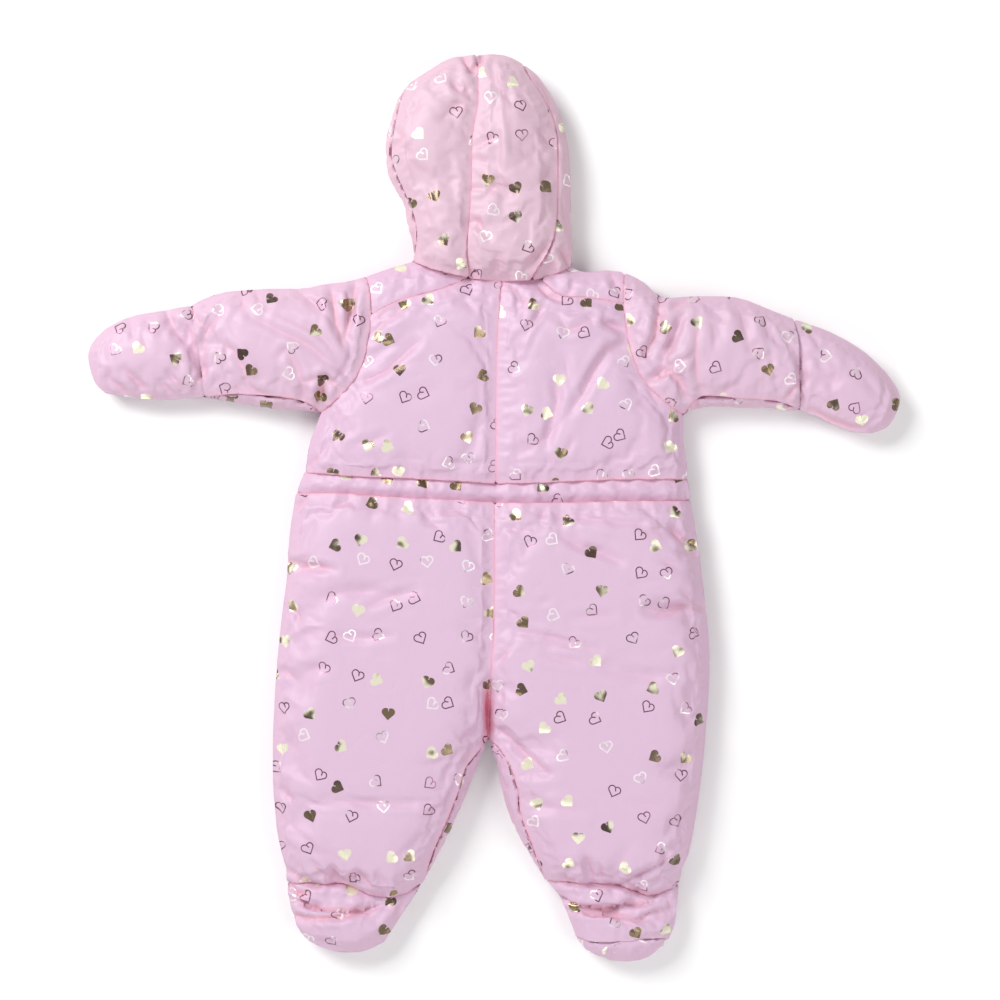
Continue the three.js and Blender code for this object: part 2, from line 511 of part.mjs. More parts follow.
function addBackOf(side) {
  const line = (name) => along(`${name}_${side}`);
  const necks = (names) => names.map((name) => sewn(along(name), NECK_SEAM));
  addUpper(`hood_side_${side}`, LOFT.hood, {
    top: necks(NECK[side]),
    bottom: [wrapped(line('hood_top'))],
    left: [wrapped(line('hood_edge'), along(HOOD_COVER[side]))],
    right: [sewn(line('hood_seam'))],
  });
  addUpper(`yoke_${side}`, LOFT.yoke, {
    top: [wrapped(line('shoulder'))],
    bottom: [sewn(line('yoke'))],
    left: [sewn(line('neck'), NECK_SEAM)],
    right: [sewn(line('armhole_yoke'))],
  });
  addUpper(`back_${side}`, LOFT.bodice, {
    top: [sewn(reversed(line('yoke'))), ...necks(YOKE_TO_CENTRE[side])],
    bottom: [sewn(line('waist_top'), CASING_SEAM)],
    left: [sewn(line('armhole_back')), wrapped(line('side_upper'))],
    right: [sewn(along('centre_back'))],
  });
  addUpper(`leg_back_${side}`, LOFT.leg, {
    top: [sewn(line('waist_bottom'), CASING_SEAM)],
    bottom: [sewn(line('ankle'), ANKLE_SEAM)],
    left: [wrapped(line('side_leg'))],
    right: [sewn(along('centre_seat')), wrapped(line('leg_in'), line('inseam'))],
  });
  addUpper(`foot_upper_${side}`, LOFT.foot, {
    top: [sewn(line('ankle'), ANKLE_SEAM)],
    bottom: [wrapped(line('foot_toe'), along(TOE_COVER[side]))],
    left: [wrapped(line('foot_side'))],
    right: [wrapped(line('foot_in'))],
  });
  addUpper(`sleeve_back_${side}`, LOFT.sleeve, {
    top: [wrapped(line('sleeve_top'))],
    bottom: [wrapped(line('sleeve_bottom'), line('underarm_seam'))],
    left: [sewn(line('armhole_yoke')), sewn(line('armhole_back'))],
    right: [sewn(line('wrist'), WRIST_SEAM)],
  });
  addUpper(`mitt_upper_${side}`, LOFT.mitt, {
    top: [wrapped(line('mitt_top'))],
    bottom: [wrapped(line('mitt_bottom'))],
    left: [sewn(line('wrist'), WRIST_SEAM)],
    right: [wrapped(line('mitt_tip'))],
  });
}

function addFrontOf(side) {
  const line = (name) => along(`${name}_${side}`);
  const across = (name) => along(`${name}_${side}`, LINES[`${name}_${side}`].steps, crowded);
  const armhole = along([`armhole_yoke_${side}`, `armhole_back_${side}`], ARMHOLE_STEPS, crowded);
  addLower(`front_${side}`, LOFT.leg, {
    top: [sewn(across('front_neck'), NECK_SEAM)],
    bottom: [sewn(across('ankle_under'), ANKLE_SEAM)],
    left: [
      wrapped(line('shoulder')), sewn(armhole), wrapped(line('side_upper')),
      wrapped(line('side_band')), wrapped(line('side_leg')),
    ],
    right: [sewn(frontEdge(side), ZIP_EDGE), wrapped(line('leg_in'), line('inseam'))],
  }, crowded);
  addLower(`sleeve_front_${side}`, LOFT.sleeve, {
    top: [wrapped(line('sleeve_top'))],
    bottom: [wrapped(line('sleeve_bottom'), line('underarm_seam'))],
    left: [sewn(armhole)],
    right: [sewn(along(`wrist_${side}`, ARMHOLE_STEPS, crowded), WRIST_SEAM)],
  });
  addLower(`mitt_under_${side}`, LOFT.mitt, {
    top: [wrapped(line('mitt_top'))],
    bottom: [wrapped(line('mitt_bottom'))],
    left: [sewn(line('wrist'), WRIST_SEAM)],
    right: [wrapped(line('mitt_tip'))],
  });
  addLower(`sole_${side}`, LOFT.foot, {
    top: [sewn(along(`ankle_under_${side}`, LINES[`foot_toe_${side}`].steps), ANKLE_SEAM)],
    bottom: [wrapped(line('foot_toe'), along(TOE_COVER[side]))],
    left: [wrapped(line('foot_side'))],
    right: [wrapped(line('foot_in'))],
  });
}

// Centre strip of the hood and the elastic casing across the back
function addCentrePieces() {
  addUpper('hood_centre', LOFT.hood, {
    top: [sewn(along('neck_mid_left'), NECK_SEAM), sewn(reversed(along('neck_mid_right')), NECK_SEAM)],
    bottom: [wrapped(along('hood_top_centre'))],
    left: [sewn(along('hood_seam_left'))],
    right: [sewn(along('hood_seam_right'))],
  });
  addUpper('waist_casing', LOFT.casing, {
    top: [sewn(along('waist_top_left'), CASING_SEAM), sewn(reversed(along('waist_top_right')), CASING_SEAM)],
    bottom: [
      sewn(along('waist_bottom_left'), CASING_SEAM),
      sewn(reversed(along('waist_bottom_right')), CASING_SEAM),
    ],
    left: [wrapped(along('side_band_left'))],
    right: [wrapped(along('side_band_right'))],
  });
}

// Band round the face opening: from one side of the zip, up round the hood, to the other side
function addHoodBand() {
  const outer = [
    sewn(reversed(along('front_neck_left', LINES.front_neck_left.steps, crowded)), NECK_SEAM),
    wrapped(along('hood_edge_left'), along('band_seam_left')),
    wrapped(along('hood_top_left')),
    wrapped(along('hood_top_centre')),
    wrapped(reversed(along('hood_top_right'))),
    wrapped(reversed(along('hood_edge_right'))),
    sewn(along('front_neck_right', LINES.front_neck_right.steps, crowded), NECK_SEAM),
  ];
  const inner = joined(...outer.map((run) => run.points)).map(({ x, y }) => {
    const angle = Math.atan2(y - FACE.y, x - FACE.x);
    return new THREE.Vector2(
      FACE.x + FACE.halfWidth * Math.cos(angle),
      FACE.y + FACE.halfHeight * Math.sin(angle),
    );
  });
  const slit = (from, to) => Array.from({ length: FACE.columns + 1 }, (_, step) => {
    const share = step / FACE.columns;
    const bow = EDGE_BOW * Math.sin(Math.PI * share) * Math.sign(from.x);
    return from.clone().lerp(to, share).add(new THREE.Vector2(bow, 0));
  });
  addLower('hood_front_band', LOFT.hood, {
    top: [sewn(slit(outer[0].points[0], inner[0]), ZIP_EDGE)],
    bottom: [sewn(slit(outer.at(-1).points.at(-1), inner.at(-1)), ZIP_EDGE)],
    left: outer,
    right: [sewn(inner, FACE_EDGE)],
  });
}

// Zip: tape with its coil, in the channel between the two fronts
function addZip() {
  const { halfWidth, tapeTop, tapeUnder, coilHalf, coilUnder } = ZIP;
  const section = new THREE.Shape([
    [-halfWidth, tapeTop], [-halfWidth, tapeUnder], [-coilHalf, tapeUnder], [-coilHalf, coilUnder],
    [coilHalf, coilUnder], [coilHalf, tapeUnder], [halfWidth, tapeUnder], [halfWidth, tapeTop],
  ].map(([x, z]) => new THREE.Vector2(x, z)));
  const geometry = new THREE.ExtrudeGeometry(section, { depth: ZIP.top - ZIP.bottom, bevelEnabled: false });
  geometry.rotateX(Math.PI / 2).translate(0, ZIP.top, 0);
  addMesh('front_zip', geometry, TAPE);
}

// A three.js geometry as a manifold solid, and back
function toManifold(geometry) {
  const bare = geometry.clone();
  bare.deleteAttribute('normal');
  bare.deleteAttribute('uv');
  const merged = mergeVertices(bare);
  return new wasm.Manifold(new wasm.Mesh({
    numProp: 3,
    vertProperties: merged.attributes.position.array,
    triVerts: new Uint32Array(merged.index.array),
  }));
}

function fromManifold(solid) {
  const { vertProperties, triVerts } = solid.getMesh();
  return solidFrom([...vertProperties], [...triVerts]);
}

// Slider: a tapered plate under the coil with the bail that holds the pull tab
function addSlider() {
  const { y, halfWidth, length, under, top, nose, bevel } = SLIDER;
  const plate = new THREE.Shape([
    [-halfWidth, length / 2], [-nose, -length / 2], [nose, -length / 2], [halfWidth, length / 2],
  ].map(([px, py]) => new THREE.Vector2(px, py)));
  const body = new THREE.ExtrudeGeometry(plate, {
    depth: top - under - 2 * bevel, bevelThickness: bevel, bevelSize: bevel, bevelOffset: -bevel, bevelSegments: 2,
  });
  body.translate(0, y, under + bevel);
  const arch = new THREE.Shape();
  arch.absarc(0, 0, BAIL.outer, 0, Math.PI, false);
  arch.lineTo(-BAIL.outer, -BAIL.rise);
  arch.lineTo(-BAIL.inner, -BAIL.rise);
  arch.absarc(0, 0, BAIL.inner, Math.PI, 0, true);
  arch.lineTo(BAIL.inner, -BAIL.rise);
  arch.lineTo(BAIL.outer, -BAIL.rise);
  const bail = new THREE.ExtrudeGeometry(arch, { depth: BAIL.width, bevelEnabled: false, curveSegments: 10 });
  bail.translate(0, 0, -BAIL.width / 2).rotateY(Math.PI / 2).rotateX(-Math.PI / 2);
  bail.translate(0, y, BAIL.axisHeight);
  addMesh('zip_slider', fromManifold(toManifold(body).add(toManifold(bail))), ENAMEL);
}

// Pull tab: a rounded plate whose round end bar turns inside the bail
function addPullTab() {
  const { width, length, thickness, holeWidth, holeEnd, corner, barSides } = PULL;
  const half = width / 2;
  const barRadius = thickness / 2;
  const tab = new THREE.Shape();
  tab.moveTo(-half, 0);
  tab.lineTo(half, 0);
  tab.lineTo(half, -length + corner);
  tab.absarc(half - corner, -length + corner, corner, 0, -Math.PI / 2, true);
  tab.absarc(-half + corner, -length + corner, corner, -Math.PI / 2, -Math.PI, true);
  const plate = new THREE.ExtrudeGeometry(tab, { depth: thickness, bevelEnabled: false, curveSegments: 5 });
  plate.translate(0, 0, -thickness / 2);
  const hole = new THREE.BoxGeometry(holeWidth, holeEnd, 2 * thickness);
  hole.translate(0, -holeEnd / 2, 0);
  const bar = new THREE.CylinderGeometry(barRadius, barRadius, width, barSides);
  bar.rotateZ(Math.PI / 2);
  const solid = toManifold(plate).subtract(toManifold(hole)).add(toManifold(bar));
  addMesh('zip_pull', fromManifold(solid).translate(0, SLIDER.y, BAIL.axisHeight), ENAMEL);
}

for (const side of SIDES) {
  addBackOf(side);
  addFrontOf(side);
}
addCentrePieces();
addHoodBand();
addZip();
addSlider();
addPullTab();

// The origin is the middle of the garment's box, on the surface
const middle = new THREE.Box3().setFromObject(suit).getCenter(new THREE.Vector3());
suit.position.set(-middle.x, -middle.y, 0);

export default suit;
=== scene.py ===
"""Padded baby snowsuit laid face down: puffed nylon panels, foil hearts, zip, floor and studio light."""

import logging
import math
from dataclasses import dataclass, field
from enum import Enum

import bmesh
import bpy
import numpy as np
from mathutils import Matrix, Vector, noise
from mathutils.bvhtree import BVHTree
from mathutils.kdtree import KDTree


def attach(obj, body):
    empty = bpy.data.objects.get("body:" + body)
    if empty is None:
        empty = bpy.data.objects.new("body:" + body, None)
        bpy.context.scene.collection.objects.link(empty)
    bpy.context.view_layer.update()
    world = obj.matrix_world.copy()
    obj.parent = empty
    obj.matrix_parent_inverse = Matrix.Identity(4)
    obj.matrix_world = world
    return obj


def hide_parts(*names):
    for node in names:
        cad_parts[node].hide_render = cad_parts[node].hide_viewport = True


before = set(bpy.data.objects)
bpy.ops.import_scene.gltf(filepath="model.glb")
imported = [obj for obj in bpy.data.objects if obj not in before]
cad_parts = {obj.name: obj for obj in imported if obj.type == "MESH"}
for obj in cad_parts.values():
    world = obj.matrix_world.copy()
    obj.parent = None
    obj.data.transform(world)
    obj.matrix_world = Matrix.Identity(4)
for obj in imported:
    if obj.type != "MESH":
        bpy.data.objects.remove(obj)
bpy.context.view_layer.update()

MM = 0.001
LAYER_HEIGHT = 14.0 * MM
ORIGIN_SHIFT = (0.557 * MM, 0.616 * MM)

log = logging.getLogger("snowsuit")


class Layer(Enum):
    """Which wall of the laid garment a panel belongs to."""

    UPPER = 1.0
    LOWER = -1.0


def point(x: float, y: float, z: float = 0.0) -> np.ndarray:
    """A place on the garment, from millimetres on the pattern to metres in the shared frame."""
    return np.array([x * MM + ORIGIN_SHIFT[0], y * MM + ORIGIN_SHIFT[1], z * MM])


def read_points(mesh: bpy.types.Mesh) -> np.ndarray:
    """All vertex places of a mesh, one row each."""
    flat = np.empty(len(mesh.vertices) * 3)
    mesh.vertices.foreach_get("co", flat)
    return flat.reshape(-1, 3)


def read_normals(mesh: bpy.types.Mesh) -> np.ndarray:
    """All vertex normals of a mesh, one row each."""
    flat = np.empty(len(mesh.vertices) * 3, np.float32)
    mesh.vertex_normals.foreach_get("vector", flat)
    return flat.reshape(-1, 3).astype(float)


def write_points(mesh: bpy.types.Mesh, places: np.ndarray) -> None:
    """Sets all vertex places of a mesh."""
    mesh.vertices.foreach_set("co", places.reshape(-1))
    mesh.update()


def only(piece: bpy.types.Object) -> None:
    """Deselects everything else and makes one object active."""
    if bpy.context.mode != "OBJECT":
        bpy.ops.object.mode_set(mode="OBJECT")
    bpy.ops.object.select_all(action="DESELECT")
    piece.select_set(True)
    bpy.context.view_layer.objects.active = piece


def apply_modifier(piece: bpy.types.Object, name: str) -> None:
    """Applies one modifier of a piece."""
    only(piece)
    bpy.ops.object.modifier_apply(modifier=name)


def distance_to_line(places: np.ndarray, line: np.ndarray) -> tuple[np.ndarray, np.ndarray, np.ndarray]:
    """How far each place lies from a polyline, seen from above.

    Args:
        places: one row of x, y for each place.
        line: the polyline's corners, one row of x, y each.

    Returns:
        The distances, the share of the line's length at which each nearest point lies, and
        whether the place is to the right of the line.
    """
    lengths = np.linalg.norm(np.diff(line, axis=0), axis=1)
    total = lengths.sum()
    best = np.full(len(places), np.inf)
    share = np.zeros(len(places))
    right = np.zeros(len(places), bool)
    start = 0.0
    for a, b, length in zip(line[:-1], line[1:], lengths):
        along = np.clip((places - a) @ (b - a) / length**2, 0.0, 1.0)
        away = np.linalg.norm(places - a - along[:, None] * (b - a), axis=1)
        nearer = away < best
        best[nearer] = away[nearer]
        share[nearer] = (start + along[nearer] * length) / total
        x, y = (places[nearer] - a).T
        right[nearer] = (b - a)[0] * y < (b - a)[1] * x
        start += length
    return best, share, right


@dataclass
class Graph:
    """A node tree that is written down as formulas."""

    tree: bpy.types.NodeTree

    def node(self, kind: str, **settings: object) -> bpy.types.Node:
        """Adds a node.

        Args:
            kind: the node's type.
            settings: its properties.

        Returns:
            The new node.
        """
        made = self.tree.nodes.new(kind)
        for name, value in settings.items():
            setattr(made, name, value)
        return made

    def feed(self, socket: bpy.types.NodeSocket, value: object) -> None:
        """Links a socket to another one, or sets its constant."""
        if isinstance(value, bpy.types.NodeSocket):
            self.tree.links.new(value, socket)
        else:
            socket.default_value = value

    def math(self, operation: str, *values: object, clamp: bool = False) -> bpy.types.NodeSocket:
        """The result of a Math node on sockets or numbers."""
        made = self.node("ShaderNodeMath", operation=operation, use_clamp=clamp)
        for socket, value in zip(made.inputs, values):
            self.feed(socket, value)
        return made.outputs[0]

    def vector(self, operation: str, *values: object) -> bpy.types.NodeSocket:
        """The vector that a Vector Math node gives."""
        made = self.node("ShaderNodeVectorMath", operation=operation)
        for socket, value in zip(made.inputs, values):
            self.feed(socket, value)
        return made.outputs[0]

    def mix(self, share: object, low: object, high: object) -> bpy.types.NodeSocket:
        """A colour between two colours."""
        made = self.node("ShaderNodeMix", data_type="RGBA")
        self.feed(made.inputs[0], share)
        self.feed(made.inputs[6], low)
        self.feed(made.inputs[7], high)
        return made.outputs[2]

    def smooth(self, value: object, low: float, high: float, to_low: float = 0.0, to_high: float = 1.0) -> bpy.types.NodeSocket:
        """A soft step from one number to another, as the value passes from low to high."""
        made = self.node("ShaderNodeMapRange", interpolation_type="SMOOTHSTEP")
        for socket, given in zip(made.inputs, (value, low, high, to_low, to_high)):
            self.feed(socket, given)
        return made.outputs[0]

    def cloud(self, place: object, scale: float, detail: float = 2.0, roughness: float = 0.5) -> bpy.types.NodeSocket:
        """Soft noise from 0 to 1."""
        made = self.node("ShaderNodeTexNoise", noise_dimensions="3D")
        self.feed(made.inputs["Vector"], place)
        made.inputs["Scale"].default_value = scale
        made.inputs["Detail"].default_value = detail
        made.inputs["Roughness"].default_value = roughness
        return made.outputs[0]


class GroupKind(Enum):
    """Socket types of a node group."""

    NUMBER = "NodeSocketFloat"
    VECTOR = "NodeSocketVector"


def new_group(name: str, inputs: dict[str, GroupKind], outputs: dict[str, GroupKind]) -> tuple[Graph, bpy.types.Node, bpy.types.Node]:
    """Starts a shader node group.

    Args:
        name: the group's name.
        inputs: its input sockets.
        outputs: its output sockets.

    Returns:
        The group's graph, its input node and its output node.
    """
    tree = bpy.data.node_groups.new(name, "ShaderNodeTree")
    for label, kind in inputs.items():
        tree.interface.new_socket(label, in_out="INPUT", socket_type=kind.value)
    for label, kind in outputs.items():
        tree.interface.new_socket(label, in_out="OUTPUT", socket_type=kind.value)
    graph = Graph(tree)
    return graph, graph.node("NodeGroupInput"), graph.node("NodeGroupOutput")


@dataclass(frozen=True)
class HeartPrint:
    """Small foil hearts, scattered at every turn, some filled and some in outline."""

    spacing: float = 28.0 * MM
    jitter: float = 0.7
    width: float = 10.5 * MM
    line: float = 0.1
    lean: float = 2.6
    filled_share: float = 0.5

    def group(self) -> bpy.types.NodeTree:
        """The node group that puts out where foil lies, and a number of each heart's own."""
        graph, given, put = new_group(
            "foil_hearts",
            {"Place": GroupKind.VECTOR},
            {"Foil": GroupKind.NUMBER, "Filled": GroupKind.NUMBER, "Chance": GroupKind.NUMBER},
        )
        cells = graph.node("ShaderNodeTexVoronoi", voronoi_dimensions="2D", feature="F1")
        graph.feed(cells.inputs["Vector"], given.outputs["Place"])
        cells.inputs["Scale"].default_value = 1.0 / self.spacing
        cells.inputs["Randomness"].default_value = self.jitter
        chances = graph.node("ShaderNodeSeparateColor")
        graph.feed(chances.inputs[0], cells.outputs["Color"])
        offset = graph.vector("SUBTRACT", given.outputs["Place"], cells.outputs["Position"])
        turned = graph.node("ShaderNodeVectorRotate", rotation_type="Z_AXIS")
        graph.feed(turned.inputs["Vector"], offset)
        graph.feed(turned.inputs["Angle"], graph.math("MULTIPLY", graph.math("SUBTRACT", chances.outputs[0], 0.5), self.lean))
        local = graph.node("ShaderNodeSeparateXYZ")
        graph.feed(local.inputs[0], graph.vector("SCALE", turned.outputs[0]))
        local.inputs[0].links[0].from_node.inputs["Scale"].default_value = 1.2 / self.width
        x = graph.math("ABSOLUTE", local.outputs[0])
        y = graph.math("ADD", local.outputs[1], 0.58)
        across = graph.math("ADD", x, y)
        lobe = graph.math("SUBTRACT", self._length(graph, graph.math("SUBTRACT", x, 0.25), graph.math("SUBTRACT", y, 0.75)), 0.3535)
        middle = graph.math("MULTIPLY", graph.math("MAXIMUM", across, 0.0), 0.5)
        notch = self._length(graph, x, graph.math("SUBTRACT", y, 1.0))
        flank = self._length(graph, graph.math("SUBTRACT", x, middle), graph.math("SUBTRACT", y, middle))
        side = graph.math("MULTIPLY", graph.math("MINIMUM", notch, flank), graph.math("SIGN", graph.math("SUBTRACT", x, y)))
        upper = graph.math("GREATER_THAN", across, 1.0)
        edge = graph.math("ADD", graph.math("MULTIPLY", upper, lobe), graph.math("MULTIPLY", graph.math("SUBTRACT", 1.0, upper), side))
        inside = graph.smooth(edge, 0.03, -0.03)
        hollow = graph.smooth(edge, -self.line + 0.03, -self.line - 0.03)
        filled = graph.math("LESS_THAN", chances.outputs[1], self.filled_share)
        kept = graph.math("SUBTRACT", 1.0, graph.math("MULTIPLY", hollow, graph.math("SUBTRACT", 1.0, filled)))
        cleft = self._stroke(graph, x, y, 1.0, 0.15)
        parted = graph.smooth(cleft, 0.01, 0.06)
        bent = graph.math("ADD", local.outputs[0], graph.math("MULTIPLY", graph.math("SUBTRACT", y, 1.0), 0.35))
        curl = graph.smooth(self._stroke(graph, bent, y, 0.82, 0.14), 0.08, 0.03)
        body = graph.math("MULTIPLY", graph.math("MULTIPLY", inside, kept), parted)
        loose = graph.math("MULTIPLY", curl, graph.math("SUBTRACT", 1.0, filled))
        graph.feed(put.inputs["Foil"], graph.math("MAXIMUM", body, loose))
        graph.feed(put.inputs["Filled"], filled)
        graph.feed(put.inputs["Chance"], chances.outputs[2])
        return graph.tree

    def _stroke(self, graph: Graph, x: bpy.types.NodeSocket, y: bpy.types.NodeSocket, middle: float, reach: float) -> bpy.types.NodeSocket:
        """The distance from an upright stroke that is centred at a height and reaches as far above it as below."""
        beyond = graph.math("SUBTRACT", graph.math("ABSOLUTE", graph.math("SUBTRACT", y, middle)), reach)
        return self._length(graph, x, graph.math("MAXIMUM", beyond, 0.0))

    @staticmethod
    def _length(graph: Graph, x: bpy.types.NodeSocket, y: bpy.types.NodeSocket) -> bpy.types.NodeSocket:
        """The length of a flat vector."""
        return graph.math("SQRT", graph.math("ADD", graph.math("MULTIPLY", x, x), graph.math("MULTIPLY", y, y)))


@dataclass(frozen=True)
class PuckeredCloth:
    """The small relief of thin nylon over padding: soft dents, fine wrinkles and the weave."""

    dent: float = 0.25 * MM
    wrinkle: float = 0.09 * MM
    weave_pitch: float = 0.5 * MM
    weave_height: float = 0.012 * MM

    def group(self) -> bpy.types.NodeTree:
        """The node group that puts out the relief's height in metres."""
        graph, given, put = new_group("nylon_relief", {"Place": GroupKind.VECTOR, "Weave": GroupKind.VECTOR}, {"Height": GroupKind.NUMBER})
        place = given.outputs["Place"]
        dents = graph.math("MULTIPLY", graph.cloud(place, 22.0, 1.0), self.dent)
        drift = graph.vector("ADD", place, graph.vector("SCALE", self._colour_cloud(graph, place)))
        folded = graph.math("ABSOLUTE", graph.math("SUBTRACT", graph.cloud(drift, 38.0, 2.0, 0.45), 0.5))
        wrinkles = graph.math("MULTIPLY", graph.smooth(folded, 0.0, 0.09), self.wrinkle)
        thread = graph.node("ShaderNodeSeparateXYZ")
        graph.feed(thread.inputs[0], graph.vector("SCALE", given.outputs["Weave"]))
        thread.inputs[0].links[0].from_node.inputs["Scale"].default_value = 2.0 * math.pi / self.weave_pitch
        weave = graph.math("MULTIPLY", graph.math("SINE", thread.outputs[0]), graph.math("SINE", thread.outputs[1]))
        height = graph.math("ADD", graph.math("ADD", dents, wrinkles), graph.math("MULTIPLY", weave, self.weave_height))
        graph.feed(put.inputs["Height"], height)
        return graph.tree

    @staticmethod
    def _colour_cloud(graph: Graph, place: bpy.types.NodeSocket) -> bpy.types.NodeSocket:
        """Three soft noises as one vector, small enough to bend a pattern."""
        made = graph.node("ShaderNodeTexNoise", noise_dimensions="3D")
        graph.feed(made.inputs["Vector"], place)
        made.inputs["Scale"].default_value = 9.0
        scaled = graph.node("ShaderNodeVectorMath", operation="SCALE")
        graph.feed(scaled.inputs[0], made.outputs["Color"])
        scaled.inputs["Scale"].default_value = 0.03
        return scaled.outputs[0]


@dataclass(frozen=True)
class SatinNylon:
    """Pink satin nylon with gold foil hearts, with painted warm shade in creases, on slopes and around seams, and
    painted glints on the foil.
    """

    cloth: tuple[float, float, float, float] = (0.628, 0.437, 0.584, 1.0)
    rosy: tuple[float, float, float, float] = (0.63, 0.442, 0.534, 1.0)
    # painted warm shade: the warm pink that creases, slopes and the rims of seams get in place of shade and bounced
    # light
    painted_warm_shade: tuple[float, float, float, float] = (0.745, 0.405, 0.5, 1.0)
    seam: tuple[float, float, float, float] = (0.73, 0.355, 0.475, 1.0)
    # painted deep shade, for the deepest creases
    painted_deep_shade: tuple[float, float, float, float] = (0.66, 0.16, 0.26, 1.0)
    bronze: tuple[float, float, float, float] = (0.35, 0.26, 0.155, 1.0)
    umber: tuple[float, float, float, float] = (0.14, 0.10, 0.085, 1.0)
    # painted glint colour of the filled hearts
    painted_glint_gold: tuple[float, float, float, float] = (0.84, 0.80, 0.62, 1.0)
    mauve: tuple[float, float, float, float] = (0.22, 0.10, 0.15, 1.0)
    # painted glint colour of the outlined hearts
    pale: tuple[float, float, float, float] = (0.95, 0.92, 0.90, 1.0)
    print_pattern: HeartPrint = HeartPrint()
    relief: PuckeredCloth = PuckeredCloth()

    def material(self) -> bpy.types.Material:
        """The finished material."""
        made = bpy.data.materials.new("satin_nylon_with_foil_hearts")
        made.use_nodes = True
        graph = Graph(made.node_tree)
        shader = made.node_tree.nodes["Principled BSDF"]
        lay = graph.node("ShaderNodeUVMap", uv_map="cloth_grain").outputs[0]
        place = graph.node("ShaderNodeTexCoord").outputs["Object"]
        hearts = graph.node("ShaderNodeGroup", node_tree=self.print_pattern.group())
        graph.feed(hearts.inputs["Place"], lay)
        relief = graph.node("ShaderNodeGroup", node_tree=self.relief.group())
        graph.feed(relief.inputs["Place"], place)
        graph.feed(relief.inputs["Weave"], lay)
        painted_shade_amount = graph.node("ShaderNodeAttribute", attribute_name="painted_shade_amount").outputs["Fac"]
        away = graph.node("ShaderNodeAttribute", attribute_name="seam_distance").outputs["Fac"]
        rose = graph.node("ShaderNodeAttribute", attribute_name="rose").outputs["Fac"]
        # Painted shade: warm pink by the crease and slope amount and in a halo round each seam, deep red where the
        # crease shade runs highest.
        painted_seam_halo = graph.smooth(away, 6.0 * MM, 0.0, 0.0, 0.28)
        ground = graph.mix(graph.math("MAXIMUM", painted_shade_amount, painted_seam_halo), graph.mix(rose, self.cloth, self.rosy), self.painted_warm_shade)
        ground = graph.mix(graph.smooth(painted_shade_amount, 1.0, 2.0), ground, self.painted_deep_shade)
        ground = graph.mix(self._thread(graph, place, away), ground, self.seam)
        chance = hearts.outputs["Chance"]
        # Painted glints: a noise over the hearts picks which foil is painted pale, as though catching the light, and
        # takes most of its metal away.
        painted_glint_field = graph.math("ADD", graph.math("MULTIPLY", chance, 0.6), graph.math("MULTIPLY", graph.cloud(place, 80.0, 1.0), 1.3))
        painted_glint = graph.smooth(painted_glint_field, 0.88, 1.12)
        dark_foil = graph.mix(graph.math("FRACT", graph.math("MULTIPLY", chance, 7.3)), self.bronze, self.umber)
        solid_foil = graph.mix(painted_glint, dark_foil, self.painted_glint_gold)
        line_foil = graph.mix(painted_glint, self.mauve, self.pale)
        foil = graph.mix(hearts.outputs["Filled"], line_foil, solid_foil)
        covered = graph.math("MULTIPLY", hearts.outputs["Foil"], graph.smooth(away, 0.5 * MM, 1.1 * MM))
        graph.feed(shader.inputs["Base Color"], graph.mix(covered, ground, foil))
        graph.feed(shader.inputs["Metallic"], graph.math("MULTIPLY", covered, graph.smooth(painted_glint, 0.0, 1.0, 0.9, 0.35)))
        graph.feed(shader.inputs["Roughness"], graph.smooth(covered, 0.0, 1.0, 0.46, 0.27))
        bump = graph.node("ShaderNodeBump")
        bump.inputs["Strength"].default_value = 1.0
        bump.inputs["Distance"].default_value = 1.0
        graph.feed(bump.inputs["Height"], relief.outputs["Height"])
        graph.feed(shader.inputs["Normal"], bump.outputs[0])
        shader.inputs["Sheen Weight"].default_value = 0.1
        shader.inputs["Sheen Roughness"].default_value = 0.4
        shader.inputs["Specular IOR Level"].default_value = 0.45
        return made

    @staticmethod
    def _thread(graph: Graph, place: bpy.types.NodeSocket, away: bpy.types.NodeSocket) -> bpy.types.NodeSocket:
        """How much of the seam's own colour shows: a thin line, with small stitches along it."""
        apart = graph.node("ShaderNodeSeparateXYZ")
        graph.feed(apart.inputs[0], place)
        run = graph.math("ADD", apart.outputs[0], graph.math("MULTIPLY", apart.outputs[1], 1.3))
        dash = graph.math("SINE", graph.math("MULTIPLY", run, 2.0 * math.pi / (2.6 * MM)))
        line = graph.smooth(away, 1.3 * MM, 0.3 * MM)
        taut = graph.smooth(graph.cloud(place, 26.0, 1.0), 0.35, 0.65, 0.45, 1.0)
        return graph.math("MULTIPLY", graph.math("MULTIPLY", line, taut), graph.smooth(dash, -0.6, 0.2, 0.55, 0.9))


@dataclass(frozen=True)
class Crease:
    """A trough in the cloth, with a soft ridge on both sides and a painted warm shade along the trough.

    The rows are millimetres on the pattern; depth, reach and step are millimetres too. The step
    is how far the cloth to the right of the line lies below the cloth to its left.
    """

    at: tuple[tuple[float, float], ...]
    depth: float
    reach: float
    # share of painted warm shade in the trough: pink standing in for shade and bounced light in the fold
    painted_warm_shade: float = 0.25
    step: float = 0.0

    def profile(self, places: np.ndarray) -> tuple[np.ndarray, np.ndarray]:
        """How far it pushes each place in, in metres, and how much painted warm shade it puts on the cloth there."""
        line = np.array([point(x, y)[:2] for x, y in self.at])
        away, share, right = distance_to_line(places[:, :2], line)
        fade = np.sqrt(np.sin(np.pi * (0.06 + 0.88 * share)))
        ratio = away / (self.reach * MM)
        trough = 0.55 * np.exp(-(ratio**2)) + 0.45 * np.exp(-2.2 * ratio) - 0.35 * np.exp(-((ratio - 2.1) ** 2))
        push = self.depth * trough + self.step * np.where(right, np.exp(-ratio / 3.0), 0.0)
        return push * MM * fade, self.painted_warm_shade * fade * np.exp(-((ratio * 1.8) ** 2))
